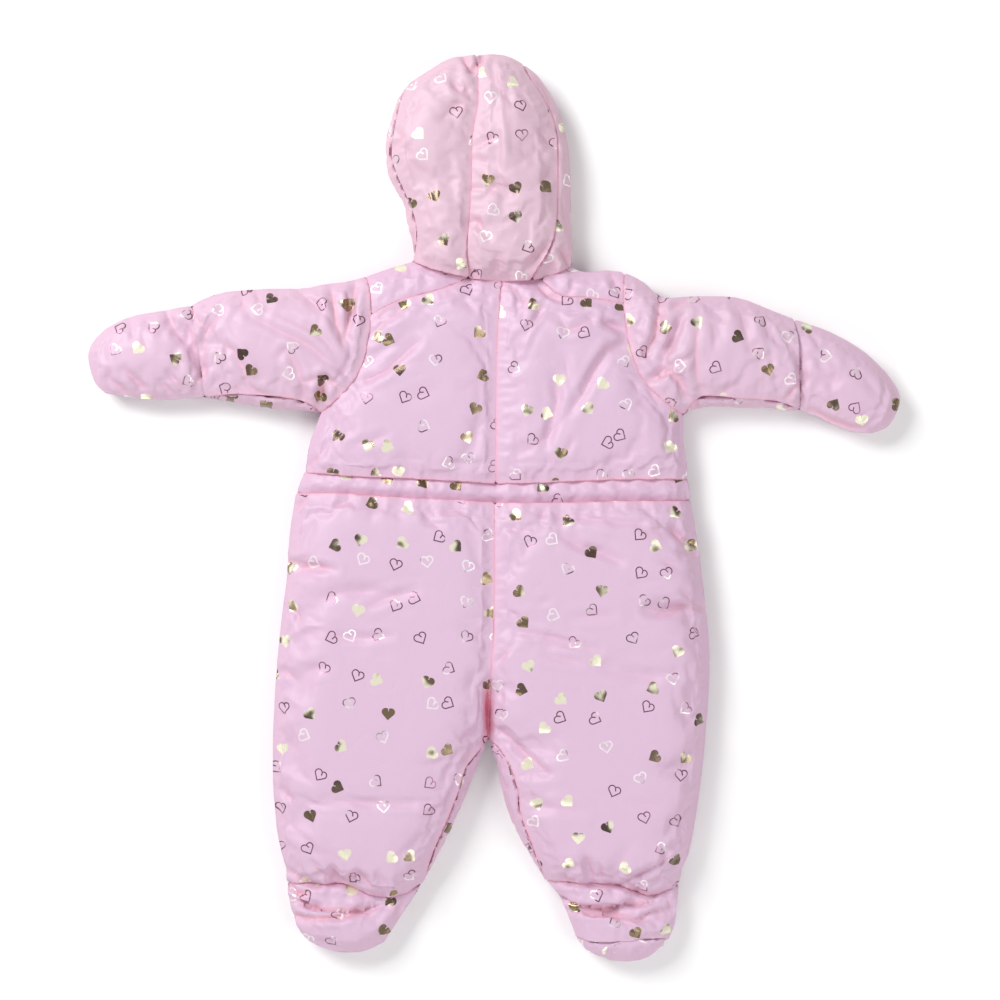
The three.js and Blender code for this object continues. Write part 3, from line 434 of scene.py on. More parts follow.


# Creases of the hood: rows of [x, y] in mm, depth, reach, painted warm shade
HOOD_CREASES = (
    Crease(((-25, 359), (-18, 346)), 4.4, 2.8, 0.7),
    Crease(((-9, 361), (-17, 346)), 4.4, 2.8, 0.7),
    Crease(((-33, 338), (-28, 330), (-22, 323)), 2.2, 3.2, 0.3),
    Crease(((-38, 320), (-28, 319), (-19, 315)), 2, 3, 0.3),
    Crease(((-41, 307), (-34, 315), (-28, 319)), 1.6, 3.2, 0.2),
    Crease(((-26, 340), (-22, 332), (-19, 325)), 1.6, 2.4, 0.4),
    Crease(((3, 354), (4, 332), (7, 303), (8, 275)), -1.2, 3, 0),
    Crease(((0, 341), (8, 324), (9, 303)), 1.4, 4, 0.1),
    Crease(((-15, 286), (-7, 289), (2, 294)), 1.8, 2.8, 0.35),
    Crease(((-11, 241), (-4, 250), (1, 255), (11, 250)), 2.2, 4, 0.15),
    Crease(((0, 280), (5, 259), (13, 246)), 2, 5, 0.1),
    Crease(((-20, 252), (-11, 253)), 1.5, 2.4, 0.4),
    Crease(((-23, 226), (-14, 227), (-4, 211)), 2.2, 3, 0.35),
    Crease(((-18, 276), (-5, 271)), 1.2, 3, 0.2),
    Crease(((36, 298), (46, 286)), 2, 3.4, 0.3),
    Crease(((34, 254), (40, 262), (45, 268)), 1.6, 3.4, 0.3),
    Crease(((28, 345), (41, 332), (47, 315)), 1.8, 4, 0.2),
    Crease(((53, 308), (56, 293)), 1.6, 3, 0.3),
    Crease(((54, 250), (58, 221)), 2.4, 5, 0.3),
    Crease(((43, 210), (35, 200), (26, 189)), 3.4, 3, 0.5),
    Crease(((52, 205), (58, 198), (60, 189)), 3, 3, 0.6),
    Crease(((49, 198), (43, 189)), 2.2, 2.6, 0.5),
    Crease(((4, 202), (1, 183)), 1.4, 3.4, 0.2),
    Crease(((-64, 217), (-63, 203)), 1.8, 3, 0.4),
    Crease(((-77, 298), (-74, 293), (-82, 282)), 1.8, 3, 0.3),
    Crease(((-52, 328), (-63, 310)), 1, 5, 0.1),
    Crease(((-30, 264), (-38, 254)), 0.9, 6, 0.05),
    Crease(((-56, 233), (-41, 224)), 0.9, 6, 0.05),
)

# Creases of the back: rows of [x, y] in mm, depth, reach, painted warm shade
BACK_CREASES = (
    Crease(((-100, 136), (-92, 144), (-85, 150), (-70, 161)), 2.6, 3.4, 0.3),
    Crease(((-109, 100), (-97, 104), (-87, 109), (-75, 119), (-62, 131)), 3, 3.6, 0.3),
    Crease(((-111, 51), (-97, 53), (-87, 58)), 1.6, 3.6, 0.15),
    Crease(((-151, 31), (-141, 41), (-133, 48)), 2.2, 4, 0.2),
    Crease(((-117, 59), (-112, 62)), 1.2, 3, 0.1),
    Crease(((-78, 108), (-65, 116)), 1.2, 3, 0.1),
    Crease(((-98, 146), (-86, 156), (-78, 158)), 1.8, 3, 0.25),
    Crease(((-25, 95), (-13, 97)), 1, 4, 0.1),
    Crease(((-70, 84), (-46, 94)), 0.8, 6, 0.05),
    Crease(((-57, 26), (-52, 10)), 1.6, 2, 0.5),
    Crease(((17, 176), (24, 163), (22, 150)), 2.2, 2.8, 0.3),
    Crease(((13, 177), (18, 166), (18, 154)), 1.8, 2.6, 0.25),
    Crease(((43, 163), (38, 151), (29, 138), (22, 121)), -1.3, 2.2, 0),
    Crease(((38, 161), (32, 147)), 1.4, 3.4, 0.2),
    Crease(((33, 179), (43, 169), (54, 164)), 2.6, 3, 0.5),
    Crease(((52, 150), (58, 141), (67, 144), (77, 150)), 3, 3.6, 0.25),
    Crease(((86, 148), (94, 145), (103, 141)), 2.6, 3, 0.3),
    Crease(((62, 178), (57, 167)), 1.8, 3, 0.4),
    Crease(((93, 187), (97, 176), (101, 169)), 2.2, 3.2, 0.4),
    Crease(((103, 131), (90, 125), (79, 109), (69, 89), (61, 78)), 3.2, 3.6, 0.3),
    Crease(((61, 78), (50, 65), (38, 53), (19, 41)), 1.8, 5, 0.15),
    Crease(((56, 118), (58, 102)), 1.6, 3.6, 0.15),
    Crease(((49, 106), (50, 85), (45, 67), (41, 50)), 2.4, 3.6, 0.2),
    Crease(((62, 54), (56, 41)), 1.3, 2.4, 0.2),
    Crease(((122, 94), (131, 81)), 2.2, 3, 0.3),
    Crease(((32, 23), (39, 8)), 1.6, 2, 0.5),
    Crease(((95, 25), (100, 10)), 1, 4, 0.2),
    Crease(((109, 54), (133, 40)), 0.9, 6, 0.05),
)

# Creases of the sleeves and mitts: rows of [x, y] in mm, depth, reach, painted warm shade
SLEEVE_CREASES = (
    Crease(((-130, 174), (-125, 149), (-120, 129)), 4, 3.6, 0.75),
    Crease(((-111, 177), (-115, 155), (-118, 134)), 4.2, 3.2, 0.85),
    Crease(((-158, 174), (-140, 160), (-125, 143)), 2, 3, 0.2),
    Crease(((-193, 151), (-165, 138), (-145, 127), (-131, 115), (-116, 104)), 2.4, 3.6, 0.2),
    Crease(((-147, 144), (-131, 129), (-118, 107)), 1.6, 3, 0.15),
    Crease(((-172, 152), (-158, 148), (-145, 141)), 1.2, 3.4, 0.1),
    Crease(((-164, 125), (-157, 111), (-152, 94), (-153, 84)), 3, 3.4, 0.3),
    Crease(((-172, 119), (-164, 126)), 1.2, 3, 0.2),
    Crease(((-151, 99), (-138, 103), (-127, 99), (-122, 91)), 2.6, 2.8, 0.5),
    Crease(((-133, 105), (-137, 94), (-138, 84)), 4, 3.2, 1),
    Crease(((-218, 130), (-207, 124), (-200, 111), (-197, 98)), 2.8, 3.6, 0.35),
    Crease(((-216, 158), (-226, 145), (-231, 134)), 3, 3, 0.3),
    Crease(((-231, 134), (-232, 119), (-231, 102)), 2, 3, 0.5),
    Crease(((-244, 148), (-240, 128), (-234, 105)), 2.4, 4, 0.3),
    Crease(((-263, 157), (-257, 147), (-248, 132)), 2.6, 3.4, 0.3),
    Crease(((-250, 148), (-244, 139), (-245, 131)), 1.8, 3, 0.2),
    Crease(((-244, 162), (-237, 149), (-230, 142)), 2.4, 3.4, 0.4),
    Crease(((-202, 171), (-200, 162), (-204, 157)), 2, 4, 0.2),
    Crease(((-192, 174), (-185, 162)), 1.4, 4, 0.15),
    Crease(((-291, 149), (-287, 135)), 1.8, 3.6, 0.2),
    Crease(((-280, 138), (-276, 128)), 1.2, 3.4, 0.1),
    Crease(((-294, 110), (-284, 99), (-279, 92)), 2.6, 3.2, 0.4),
    Crease(((-259, 107), (-250, 95)), 2, 3, 0.3),
    Crease(((-265, 99), (-257, 91)), 2, 2.6, 0.5),
    Crease(((-301, 99), (-294, 91)), 1.8, 2.8, 0.5),
    Crease(((-307, 107), (-308, 98)), 1.2, 3, 0.2),
    Crease(((-255, 121), (-247, 114)), 1.2, 3, 0.1),
    Crease(((-238, 99), (-232, 107), (-231, 111)), 1.6, 2.4, 0.5),
    Crease(((-199, 99), (-188, 91), (-177, 88)), 2, 2.8, 0.4),
    Crease(((-205, 98), (-201, 91)), 1.8, 2.6, 0.6),
    Crease(((-212, 148), (-205, 137)), 1, 5, 0.1),
    Crease(((132, 165), (130, 154), (128, 137), (119, 120)), 4.6, 3.4, 0.8),
    Crease(((130, 157), (136, 152)), 2.4, 2.6, 0.6),
    Crease(((155, 167), (144, 161), (139, 156)), 2, 3, 0.4),
    Crease(((151, 156), (141, 134), (130, 108)), 2.6, 2.8, 0.3),
    Crease(((125, 104), (138, 113), (151, 117), (157, 121)), 3, 3, 0.35),
    Crease(((123, 101), (139, 108), (147, 100), (152, 89)), 3.6, 3.2, 0.8),
    Crease(((162, 150), (160, 133), (160, 110), (164, 90)), 2.6, 4.4, 0.45),
    Crease(((171, 150), (175, 134), (170, 115)), 1.2, 5, 0.1),
    Crease(((193, 163), (198, 146), (202, 126)), 2, 4.6, 0.15),
    Crease(((202, 125), (208, 129), (210, 127)), 1.6, 2.8, 0.2),
    Crease(((215, 150), (218, 134)), 1.4, 4, 0.1),
    Crease(((242, 115), (244, 99), (243, 83)), 2.8, 3, 0.3),
    Crease(((232, 87), (237, 94), (242, 98)), 2.4, 2.2, 0.7),
    Crease(((232, 133), (243, 120), (245, 107)), 1.8, 5, 0.15),
    Crease(((247, 107), (253, 91)), 1.6, 5, 0.1),
    Crease(((272, 108), (266, 96)), 1.2, 4, 0.1),
    Crease(((293, 104), (304, 91)), 1.2, 4.4, 0.05),
    Crease(((252, 79), (267, 70), (283, 64), (293, 63)), 2.2, 2.4, 0.7),
    Crease(((210, 115), (211, 93)), 1, 4.4, 0.15),
    Crease(((178, 90), (187, 96), (194, 98)), 1.4, 3.4, 0.2),
    Crease(((259, 160), (276, 142)), 0.9, 6, 0.05),
    Crease(((234, 84), (236, 77)), 1.8, 2.4, 0.7),
    Crease(((161, 87), (160, 79)), 1.6, 2.2, 0.6),
    Crease(((306, 115), (317, 99)), 0.9, 5, 0.05),
)

# Creases of the seat and legs: rows of [x, y] in mm, depth, reach, painted warm shade
LEG_CREASES = (
    Crease(((-165, -43), (-154, -48), (-139, -47), (-126, -49)), 2.6, 3, 0.55),
    Crease(((-165, -42), (-145, -45)), 1.4, 2.4, 0.3),
    Crease(((-138, -71), (-121, -67), (-104, -66), (-88, -65)), 1.8, 4.4, 0.15),
    Crease(((-99, -77), (-85, -71), (-64, -66)), 2.2, 3.6, 0.2),
    Crease(((-126, -102), (-104, -103), (-82, -101)), 1.8, 3.2, 0.15),
    Crease(((-164, -80), (-157, -84), (-155, -92)), 2.2, 3.4, 0.25),
    Crease(((-175, -131), (-165, -131), (-157, -137)), 2.4, 3.4, 0.25),
    Crease(((-150, -130), (-132, -124)), 1.1, 4.4, 0.1),
    Crease(((-159, -1), (-154, 5), (-148, 9)), 2, 2.8, 0.4),
    Crease(((-128, 1), (-116, 6)), 1.6, 3, 0.3),
    Crease(((-58, -2), (-51, -9), (-44, -16)), 1.6, 3.6, 0.15),
    Crease(((-16, -103), (-3, -101)), 1.2, 3, 0.15),
    Crease(((-23, -89), (-6, -86)), 0.9, 5, 0.05),
    Crease(((-115, -27), (-97, -32)), 0.7, 6, 0),
    Crease(((-50, -2), (-27, -2)), 1.4, 4, 0.2),
    Crease(((-169, -43), (-166, -67)), 1.4, 4, 0.15),
    Crease(((-144, -100), (-158, -101)), 1, 4, 0.1),
    Crease(((54, -23), (69, -31), (84, -35), (99, -42)), 2.8, 3.6, 0.2),
    Crease(((43, -3), (59, -7), (75, -9), (110, -12)), 1.8, 4.4, 0.15),
    Crease(((115, -15), (122, -19), (130, -18)), 2.2, 3.4, 0.2),
    Crease(((140, -16), (149, -25), (162, -31)), 3.2, 3.2, 0.55),
    Crease(((151, -32), (162, -39)), 2, 3.4, 0.3),
    Crease(((131, -41), (145, -47)), 1.8, 3.4, 0.2),
    Crease(((120, -81), (131, -83), (148, -79), (167, -82)), 2.6, 3.4, 0.4),
    Crease(((149, -67), (157, -74), (168, -80)), 2.2, 3.2, 0.35),
    Crease(((60, -87), (77, -86), (93, -85)), 1.4, 3.6, 0.1),
    Crease(((18, -98), (34, -100), (49, -103), (64, -107)), 2.4, 2.8, 0.2),
    Crease(((32, -107), (42, -109), (59, -109), (83, -112)), 1.8, 3.4, 0.15),
    Crease(((40, -116), (53, -119), (66, -122)), 2, 3.4, 0.15),
    Crease(((87, -127), (98, -130), (128, -134), (142, -133)), 1.7, 4.4, 0.1),
    Crease(((2, -122), (7, -116), (13, -110)), 1.8, 2.2, 0.4),
    Crease(((12, -16), (20, -19), (27, -15)), 2.2, 3.2, 0.25),
    Crease(((36, -9), (40, 0)), 1.6, 3.8, 0.25),
    Crease(((34, -75), (43, -74)), 1.1, 3, 0.1),
    Crease(((10, -82), (18, -85)), 1.1, 3, 0.1),
    Crease(((109, -60), (132, -58)), 1.1, 4.4, 0.05),
    Crease(((61, 2), (63, -3), (93, -2)), 1.4, 4, 0.15),
    Crease(((125, -113), (149, -110)), 1, 5, 0.05),
    Crease(((142, 2), (148, -2)), 1.6, 3, 0.3),
    Crease(((-136, -231), (-119, -232), (-65, -235)), 1.8, 3, 0.15),
    Crease(((-172, -223), (-165, -229), (-159, -231)), 1.8, 3, 0.2),
    Crease(((-175, -237), (-165, -250), (-147, -264)), 1.4, 4.6, 0.1),
    Crease(((-170, -181), (-150, -198)), 1, 4.6, 0.05),
    Crease(((-145, -284), (-134, -293), (-120, -297)), 3, 3.4, 0.35),
    Crease(((-128, -287), (-125, -293), (-120, -296)), 2.8, 2.6, 0.5),
    Crease(((-116, -297), (-109, -290), (-96, -302)), 2.6, 3, 0.5),
    Crease(((-165, -289), (-155, -296), (-142, -300)), 2.8, 3.4, 0.35),
    Crease(((-92, -289), (-83, -309)), 1.2, 5, 0.1),
    Crease(((-165, -300), (-159, -306), (-150, -310)), 3, 2.8, 0.9),
    Crease(((-75, -291), (-69, -301)), 1.2, 5, 0.1),
    Crease(((-162, -184), (-175, -204)), 0.8, 6, 0.05),
    Crease(((-23, -206), (-19, -194)), 1.6, 3.6, 0.2),
    Crease(((-43, -266), (-59, -293)), 1, 6, 0.05),
    Crease(((-147, -271), (-126, -280)), 1.2, 5, 0.1),
    # the crotch's narrow valley, with so much painted shade that it turns deep red
    Crease(((-5, -140), (-5, -160), (-5, -187)), 4, 3.2, 2.4),
    Crease(((-3, -173), (11, -183), (26, -197), (41, -209)), 2.8, 3, 0.3),
    Crease(((19, -213), (27, -210), (45, -210)), 1.8, 3.4, 0.15),
    Crease(((23, -232), (41, -237), (69, -240)), 1.8, 4.2, 0.15),
    Crease(((17, -220), (18, -244)), 1.8, 3.2, 0.2),
    Crease(((110, -232), (126, -237)), 1.3, 3.6, 0.1),
    Crease(((137, -278), (116, -288), (98, -299)), 2, 2.6, 0.4, -3),
    Crease(((83, -282), (86, -298)), 2.2, 2.8, 0.4),
    Crease(((133, -269), (135, -277), (131, -287)), 1.8, 2.6, 0.2),
    Crease(((72, -276), (79, -296)), 1.4, 4, 0.2),
    Crease(((54, -293), (61, -299)), 2, 2.6, 0.4),
    Crease(((110, -264), (92, -291)), 1, 5, 0.1),
    Crease(((156, -232), (149, -264)), 1, 6, 0.05),
    Crease(((61, -298), (64, -294)), 1.6, 2.2, 0.6),
    Crease(((104, -298), (116, -307), (126, -310)), 2.4, 2.6, 0.5),
    Crease(((55, -260), (69, -270)), 1, 5, 0.05),
)

# Creases of the feet: rows of [x, y] in mm, depth, reach, painted warm shade
FOOT_CREASES = (
    Crease(((-157, -312), (-145, -316), (-134, -318), (-111, -319), (-95, -316.5)), 2.4, 2.4, 0.8, 6),
    Crease(((50, -308.5), (60, -314), (75, -317), (91, -318), (107, -314.5), (124, -313)), 2.4, 2.4, 0.8, 6),
    Crease(((-161, -325.7), (-145, -327), (-129, -325.7), (-113, -322.2), (-100, -319)), 3.4, 2.8, 1.2),
    Crease(((-166, -300), (-141, -300), (-122, -299), (-107, -305), (-90, -310)), 2, 2.4, 0.5),
    Crease(((47, -299), (68, -300), (98, -300.5), (111, -306), (123, -310), (137, -305)), 2, 2.4, 0.5),
    Crease(((-165, -300), (-158, -306), (-146, -308)), 2.4, 2.6, 1.1),
    Crease(((-162, -324), (-152, -330), (-141, -335)), 2.6, 3.2, 0.3),
    Crease(((-162, -309), (-155, -315), (-140, -317)), 2.4, 3, 0.6),
    Crease(((-103, -319), (-97, -327)), 1.4, 4, 0.2),
    Crease(((-126, -327), (-117, -323)), 1.6, 3, 0.4),
    Crease(((-73, -316), (-79, -327)), 1.6, 3.4, 0.3),
    Crease(((-146, -343), (-123, -351)), 0.9, 6, 0.05),
    Crease(((58, -321), (75, -321), (92, -319.5), (104, -323), (116, -326), (126, -322), (140, -319)), 2.8, 2.8, 0.5, 2),
    Crease(((61, -321), (81, -322), (98, -320)), 1.6, 2.6, 0.9),
    Crease(((94, -320), (101, -328), (111, -336)), 2.4, 2.6, 0.4),
    Crease(((107, -328), (123, -328)), 1.8, 2.8, 0.2),
    Crease(((98, -345), (122, -342), (139, -340)), 1.6, 3, 0.2),
    Crease(((137, -307), (141, -320)), 2.2, 2.8, 0.3),
    Crease(((128, -328), (140, -324)), 1.8, 2.6, 0.3),
    Crease(((78, -328), (86, -344)), 0.9, 5, 0.05),
    Crease(((72, -356), (101, -359)), 0.8, 5, 0.05),
)


# Creases of the underside: rows of [x, y] in mm, depth, reach, painted warm shade
FRONT_CREASES = (
    Crease(((-14, 150), (-31, 141), (-52, 144)), 2.2, 3.4, 0.3),
    Crease(((13, 121), (34, 129), (57, 124)), 2, 3.6, 0.25),
    Crease(((-96, 112), (-79, 98), (-58, 91)), 2.6, 3.6, 0.3),
    Crease(((101, 104), (83, 88), (60, 79), (41, 81)), 2.4, 3.4, 0.3),
    Crease(((-12, 62), (-29, 57), (-44, 61)), 1.6, 3, 0.2),
    Crease(((12, 34), (30, 27), (52, 32)), 2, 3.2, 0.3),
    Crease(((-137, 14), (-111, 21), (-84, 15)), 1.8, 3.4, 0.25),
    Crease(((139, 8), (121, 15), (95, 9)), 1.8, 3.4, 0.25),
    Crease(((-11, 4), (-32, -6), (-58, -4)), 2, 3.4, 0.25),
    Crease(((12, -31), (31, -24), (47, -27)), 1.6, 3, 0.2),
    Crease(((-12, -74), (-33, -66), (-61, -71)), 2.2, 3.6, 0.25),
    Crease(((11, -96), (37, -103), (68, -97)), 2.2, 3.6, 0.25),
    Crease(((-10, -139), (-34, -147), (-62, -139)), 2.6, 3.4, 0.35),
    Crease(((7, -152), (29, -163), (61, -161)), 2.6, 3.4, 0.35),
    Crease(((-9, -172), (-31, -190), (-54, -199)), 2.8, 3.2, 0.4),
    Crease(((3, -176), (25, -195), (44, -216)), 2.8, 3.2, 0.4),
    Crease(((-152, -92), (-131, -99), (-105, -94)), 1.8, 3.6, 0.2),
    Crease(((155, -118), (131, -112), (108, -119)), 2, 3.6, 0.2),
    Crease(((-158, -209), (-131, -216), (-101, -211)), 2, 3.6, 0.2),
    Crease(((142, -222), (117, -229), (84, -224)), 2, 3.6, 0.2),
    Crease(((-149, -268), (-126, -277), (-96, -271), (-77, -276)), 2.6, 3, 0.35),
    Crease(((131, -271), (105, -279), (71, -273)), 2.6, 3, 0.35),
    Crease(((-141, -287), (-119, -291), (-88, -288)), 2.6, 2.8, 0.4),
    Crease(((127, -288), (98, -291), (64, -286)), 2.6, 2.8, 0.4),
    Crease(((-139, -318), (-112, -323), (-97, -318)), 2, 3, 0.3),
    Crease(((126, -321), (101, -327), (82, -321)), 2, 3, 0.3),
    Crease(((-151, 118), (-172, 126), (-197, 122)), 2.2, 3.4, 0.25),
    Crease(((-158, 141), (-181, 149), (-204, 144)), 1.8, 3.4, 0.2),
    Crease(((-221, 148), (-224, 127), (-221, 106)), 2.4, 3, 0.35),
    Crease(((-253, 141), (-262, 124), (-258, 105)), 2, 3.2, 0.25),
    Crease(((-286, 127), (-296, 119)), 1.6, 3, 0.2),
    Crease(((148, 122), (171, 128), (199, 119)), 2.2, 3.4, 0.25),
    Crease(((153, 145), (178, 139), (201, 146)), 1.8, 3.4, 0.2),
    Crease(((226, 138), (229, 118), (226, 97)), 2.4, 3, 0.35),
    Crease(((258, 124), (266, 105), (259, 88)), 2, 3.2, 0.25),
    Crease(((291, 101), (303, 90)), 1.6, 3, 0.2),
    Crease(((-59, 288), (-67, 267), (-62, 246)), 1.6, 3, 0.2),
    Crease(((43, 284), (49, 262), (44, 240)), 1.6, 3, 0.2),
    Crease(((-31, 204), (-26, 194)), 1.8, 2.6, 0.3),
    Crease(((19, 203), (14, 192)), 1.8, 2.6, 0.3),
)


@dataclass(frozen=True)
class PadRecipe:
    """How a panel is puffed up."""

    voxel: float = 2.7 * MM
    under_voxel: float = 3.1 * MM
    pressure: float = 4.0
    spare_cloth: float = 0.05
    most_move: float = 3.5 * MM
    seam_hold: float = 2.6 * MM
    frames: int = 20
    edge_sharpness: float = 0.75
    edge_snap: float = 0.98
    seam_overlap: float = 0.7 * MM
    past_wrists: float = 226.0 * MM
    past_soles: float = -335.0 * MM
    past_cheek: float = -59.0 * MM
    past_neck: float = 206.0 * MM
    stiff_edge: float = 5.0 * MM
    # painted warm shade that cloth gets as it slopes away from facing up
    slope_painted_shade: float = 0.45
    ripple: float = 0.5 * MM


@dataclass
class PaddedPanel:
    """One sewn panel of cloth over padding, which stands for the plain solid of the same name."""

    node: str
    layer: Layer
    turn: float
    shift: tuple[float, float]
    fill: float = 0.6
    recipe: PadRecipe = PadRecipe()
    piece: bpy.types.Object | None = None
    border: np.ndarray = field(default_factory=lambda: np.zeros((0, 3)))
    outward: np.ndarray = field(default_factory=lambda: np.zeros((0, 3)))
    solid: BVHTree | None = None

    @property
    def voxel(self) -> float:
        """The size of the mesh before it is subdivided."""
        return self.recipe.voxel if self.layer is Layer.UPPER else self.recipe.under_voxel

    def block_out(self) -> None:
        """Copies the solid, remeshes it evenly and hangs the cloth simulation on it."""
        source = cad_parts[self.node]
        mesh = source.data.copy()
        self.piece = bpy.data.objects.new(f"{self.node}_cloth", mesh)
        bpy.context.scene.collection.objects.link(self.piece)
        only(self.piece)
        bpy.ops.object.mode_set(mode="EDIT")
        bpy.ops.mesh.select_all(action="SELECT")
        bpy.ops.mesh.remove_doubles(threshold=1e-6)
        bpy.ops.object.mode_set(mode="OBJECT")
        self._trace_border(mesh)
        remesh = self.piece.modifiers.new("even_mesh", "REMESH")
        remesh.mode = "VOXEL"
        remesh.voxel_size = self.voxel
        apply_modifier(self.piece, remesh.name)
        self._hang_cloth()

    @staticmethod
    def _is_hidden(face: bmesh.types.BMFace) -> bool:
        """Whether a face of the solid is a seam wall or the inner face."""
        if abs(face.normal.z) < 0.02:
            return True
        return abs(face.normal.z) > 0.999 and abs(face.calc_center_median().z - LAYER_HEIGHT) < 0.5 * MM

    def _trace_border(self, mesh: bpy.types.Mesh) -> None:
        """Sets points every millimetre along the panel's outer edges, and the way out of the panel there."""
        work = bmesh.new()
        work.from_mesh(mesh)
        work.normal_update()
        rows, ways = [], []
        for edge in work.edges:
            hidden = [face for face in edge.link_faces if self._is_hidden(face)]
            if len(edge.link_faces) != 2 or len(hidden) != 1:
                continue
            a, b = (np.array(vertex.co) for vertex in edge.verts)
            steps = max(2, int(np.linalg.norm(b - a) / MM) + 1)
            rows.extend(a + (b - a) * step / steps for step in range(steps))
            ways.extend([np.array((hidden[0].normal.x, hidden[0].normal.y, 0.0))] * steps)
        self.solid = BVHTree.FromBMesh(work)
        work.free()
        self.border, self.outward = np.array(rows), np.array(ways)

    def _border_distance(self, places: np.ndarray, flat: bool, kept: np.ndarray | None = None) -> tuple[np.ndarray, np.ndarray]:
        """Distance from each place to the border, and which of the border's points is nearest.

        Args:
            places: one row for each place.
            flat: whether heights are left out of the distance.
            kept: which of the border's points count, or None for all of them.

        Returns:
            The distances and the nearest points' numbers.
        """
        numbers = np.arange(len(self.border)) if kept is None else np.nonzero(kept)[0]
        if not len(numbers):
            return np.full(len(places), 1.0), np.zeros(len(places), int)
        scale = np.array([1.0, 1.0, 0.0 if flat else 1.0])
        tree = KDTree(len(numbers))
        for number in numbers:
            tree.insert(self.border[number] * scale, int(number))
        tree.balance()
        found = [tree.find(row) for row in places * scale]
        return np.array([hit[2] for hit in found]), np.array([hit[1] for hit in found])

    def _is_seam(self, garment: BVHTree) -> np.ndarray:
        """Which of the border's points have the garment on both sides, so that a seam shows there.

        The gathers at the wrists hide the seams beyond them, the toes' roll hides the soles', and
        the edge of the hood's left side rolls over its own.
        """
        x, y = self.border[:, 0], self.border[:, 1]
        covered = (np.abs(x) < self.recipe.past_wrists) & (y > self.recipe.past_soles)
        covered &= (x > self.recipe.past_cheek) | (y < self.recipe.past_neck)
        for side in (-2.5 * MM, 2.5 * MM):
            above = self.border + self.outward * side
            above[:, 2] = 1.0
            covered &= np.array([garment.ray_cast(Vector(row), Vector((0.0, 0.0, -1.0)))[0] is not None for row in above])
        return covered

    def _hang_cloth(self) -> None:
        """Adds the Cloth modifier, held at the seams and on the hidden inner face."""
        places = read_points(self.piece.data)
        away, _ = self._border_distance(places, flat=True)
        inner = np.abs(places[:, 2] - LAYER_HEIGHT) < 0.6 * self.voxel
        hold = np.clip(1.0 - (away - self.recipe.seam_hold) / (2.0 * self.voxel), 0.0, 1.0)
        hold[inner] = 1.0
        group = self.piece.vertex_groups.new(name="held")
        for index in np.nonzero(hold > 0.02)[0]:
            group.add([int(index)], float(hold[index]), "REPLACE")
        cloth = self.piece.modifiers.new("swell", "CLOTH")
        settings = cloth.settings
        settings.use_pressure = True
        settings.uniform_pressure_force = self.recipe.pressure
        settings.effector_weights.gravity = 0.0
        settings.vertex_group_mass = group.name
        settings.shrink_min = -self.recipe.spare_cloth
        settings.quality = 5
        settings.mass = 0.15
        settings.tension_stiffness = 12.0
        settings.compression_stiffness = 12.0
        settings.shear_stiffness = 5.0
        settings.bending_stiffness = 0.2
        cloth.collision_settings.use_collision = False
        cloth.point_cache.frame_start = 1
        cloth.point_cache.frame_end = self.recipe.frames

    def settle(self, graph: bpy.types.Depsgraph) -> None:
        """Keeps the simulated shape, no point moved further than allowed, and drops the modifier."""
        if "swell" not in self.piece.modifiers:
            return
        start = read_points(self.piece.data)
        swollen = self.piece.evaluated_get(graph).to_mesh()
        moved = read_points(swollen) - start
        self.piece.evaluated_get(graph).to_mesh_clear()
        length = np.linalg.norm(moved, axis=1)
        cap = self.recipe.most_move
        soft = cap * np.tanh(length / cap) / np.maximum(length, 1e-9)
        write_points(self.piece.data, start + moved * soft[:, None])
        self.piece.modifiers.remove(self.piece.modifiers["swell"])
        log.info("%s swelled by up to %.1f mm", self.node, length.max() / MM)

    def _thin_inside(self) -> None:
        """Leaves few faces on the hidden inner face."""
        places = read_points(self.piece.data)
        away, _ = self._border_distance(places, flat=True)
        inner = (np.abs(places[:, 2] - LAYER_HEIGHT) < 0.7 * self.voxel) & (away > 2.0 * self.voxel)
        if inner.sum() < 20:
            return
        group = self.piece.vertex_groups.new(name="inside")
        group.add([int(index) for index in np.nonzero(inner)[0]], 1.0, "REPLACE")
        thin = self.piece.modifiers.new("thin_inside", "DECIMATE")
        thin.vertex_group = group.name
        thin.ratio = 1.0 - 0.92 * inner.mean()
        apply_modifier(self.piece, thin.name)

    def _close_seams(self, places: np.ndarray) -> np.ndarray:
        """Brings the edges back to the solid's own edges, a little beyond them so that neighbours touch."""
        away, _ = self._border_distance(places, flat=True)
        near = np.clip(1.0 - (away - 1.6 * MM) / (2.6 * MM), 0.0, 1.0) * self.recipe.edge_sharpness
        moved = places.copy()
        for index in np.nonzero(near > 0.01)[0]:
            target = self.solid.find_nearest(Vector(places[index]))[0]
            moved[index] += (np.array(target) - places[index]) * near[index]
        away, number = self._border_distance(moved, flat=False)
        reach = self.recipe.edge_snap * self.voxel
        pull = np.clip((reach - away) / (0.7 * reach), 0.0, 1.0)[:, None]
        edge = self.border[number] + self.outward[number] * self.recipe.seam_overlap
        return moved + (edge - moved) * pull

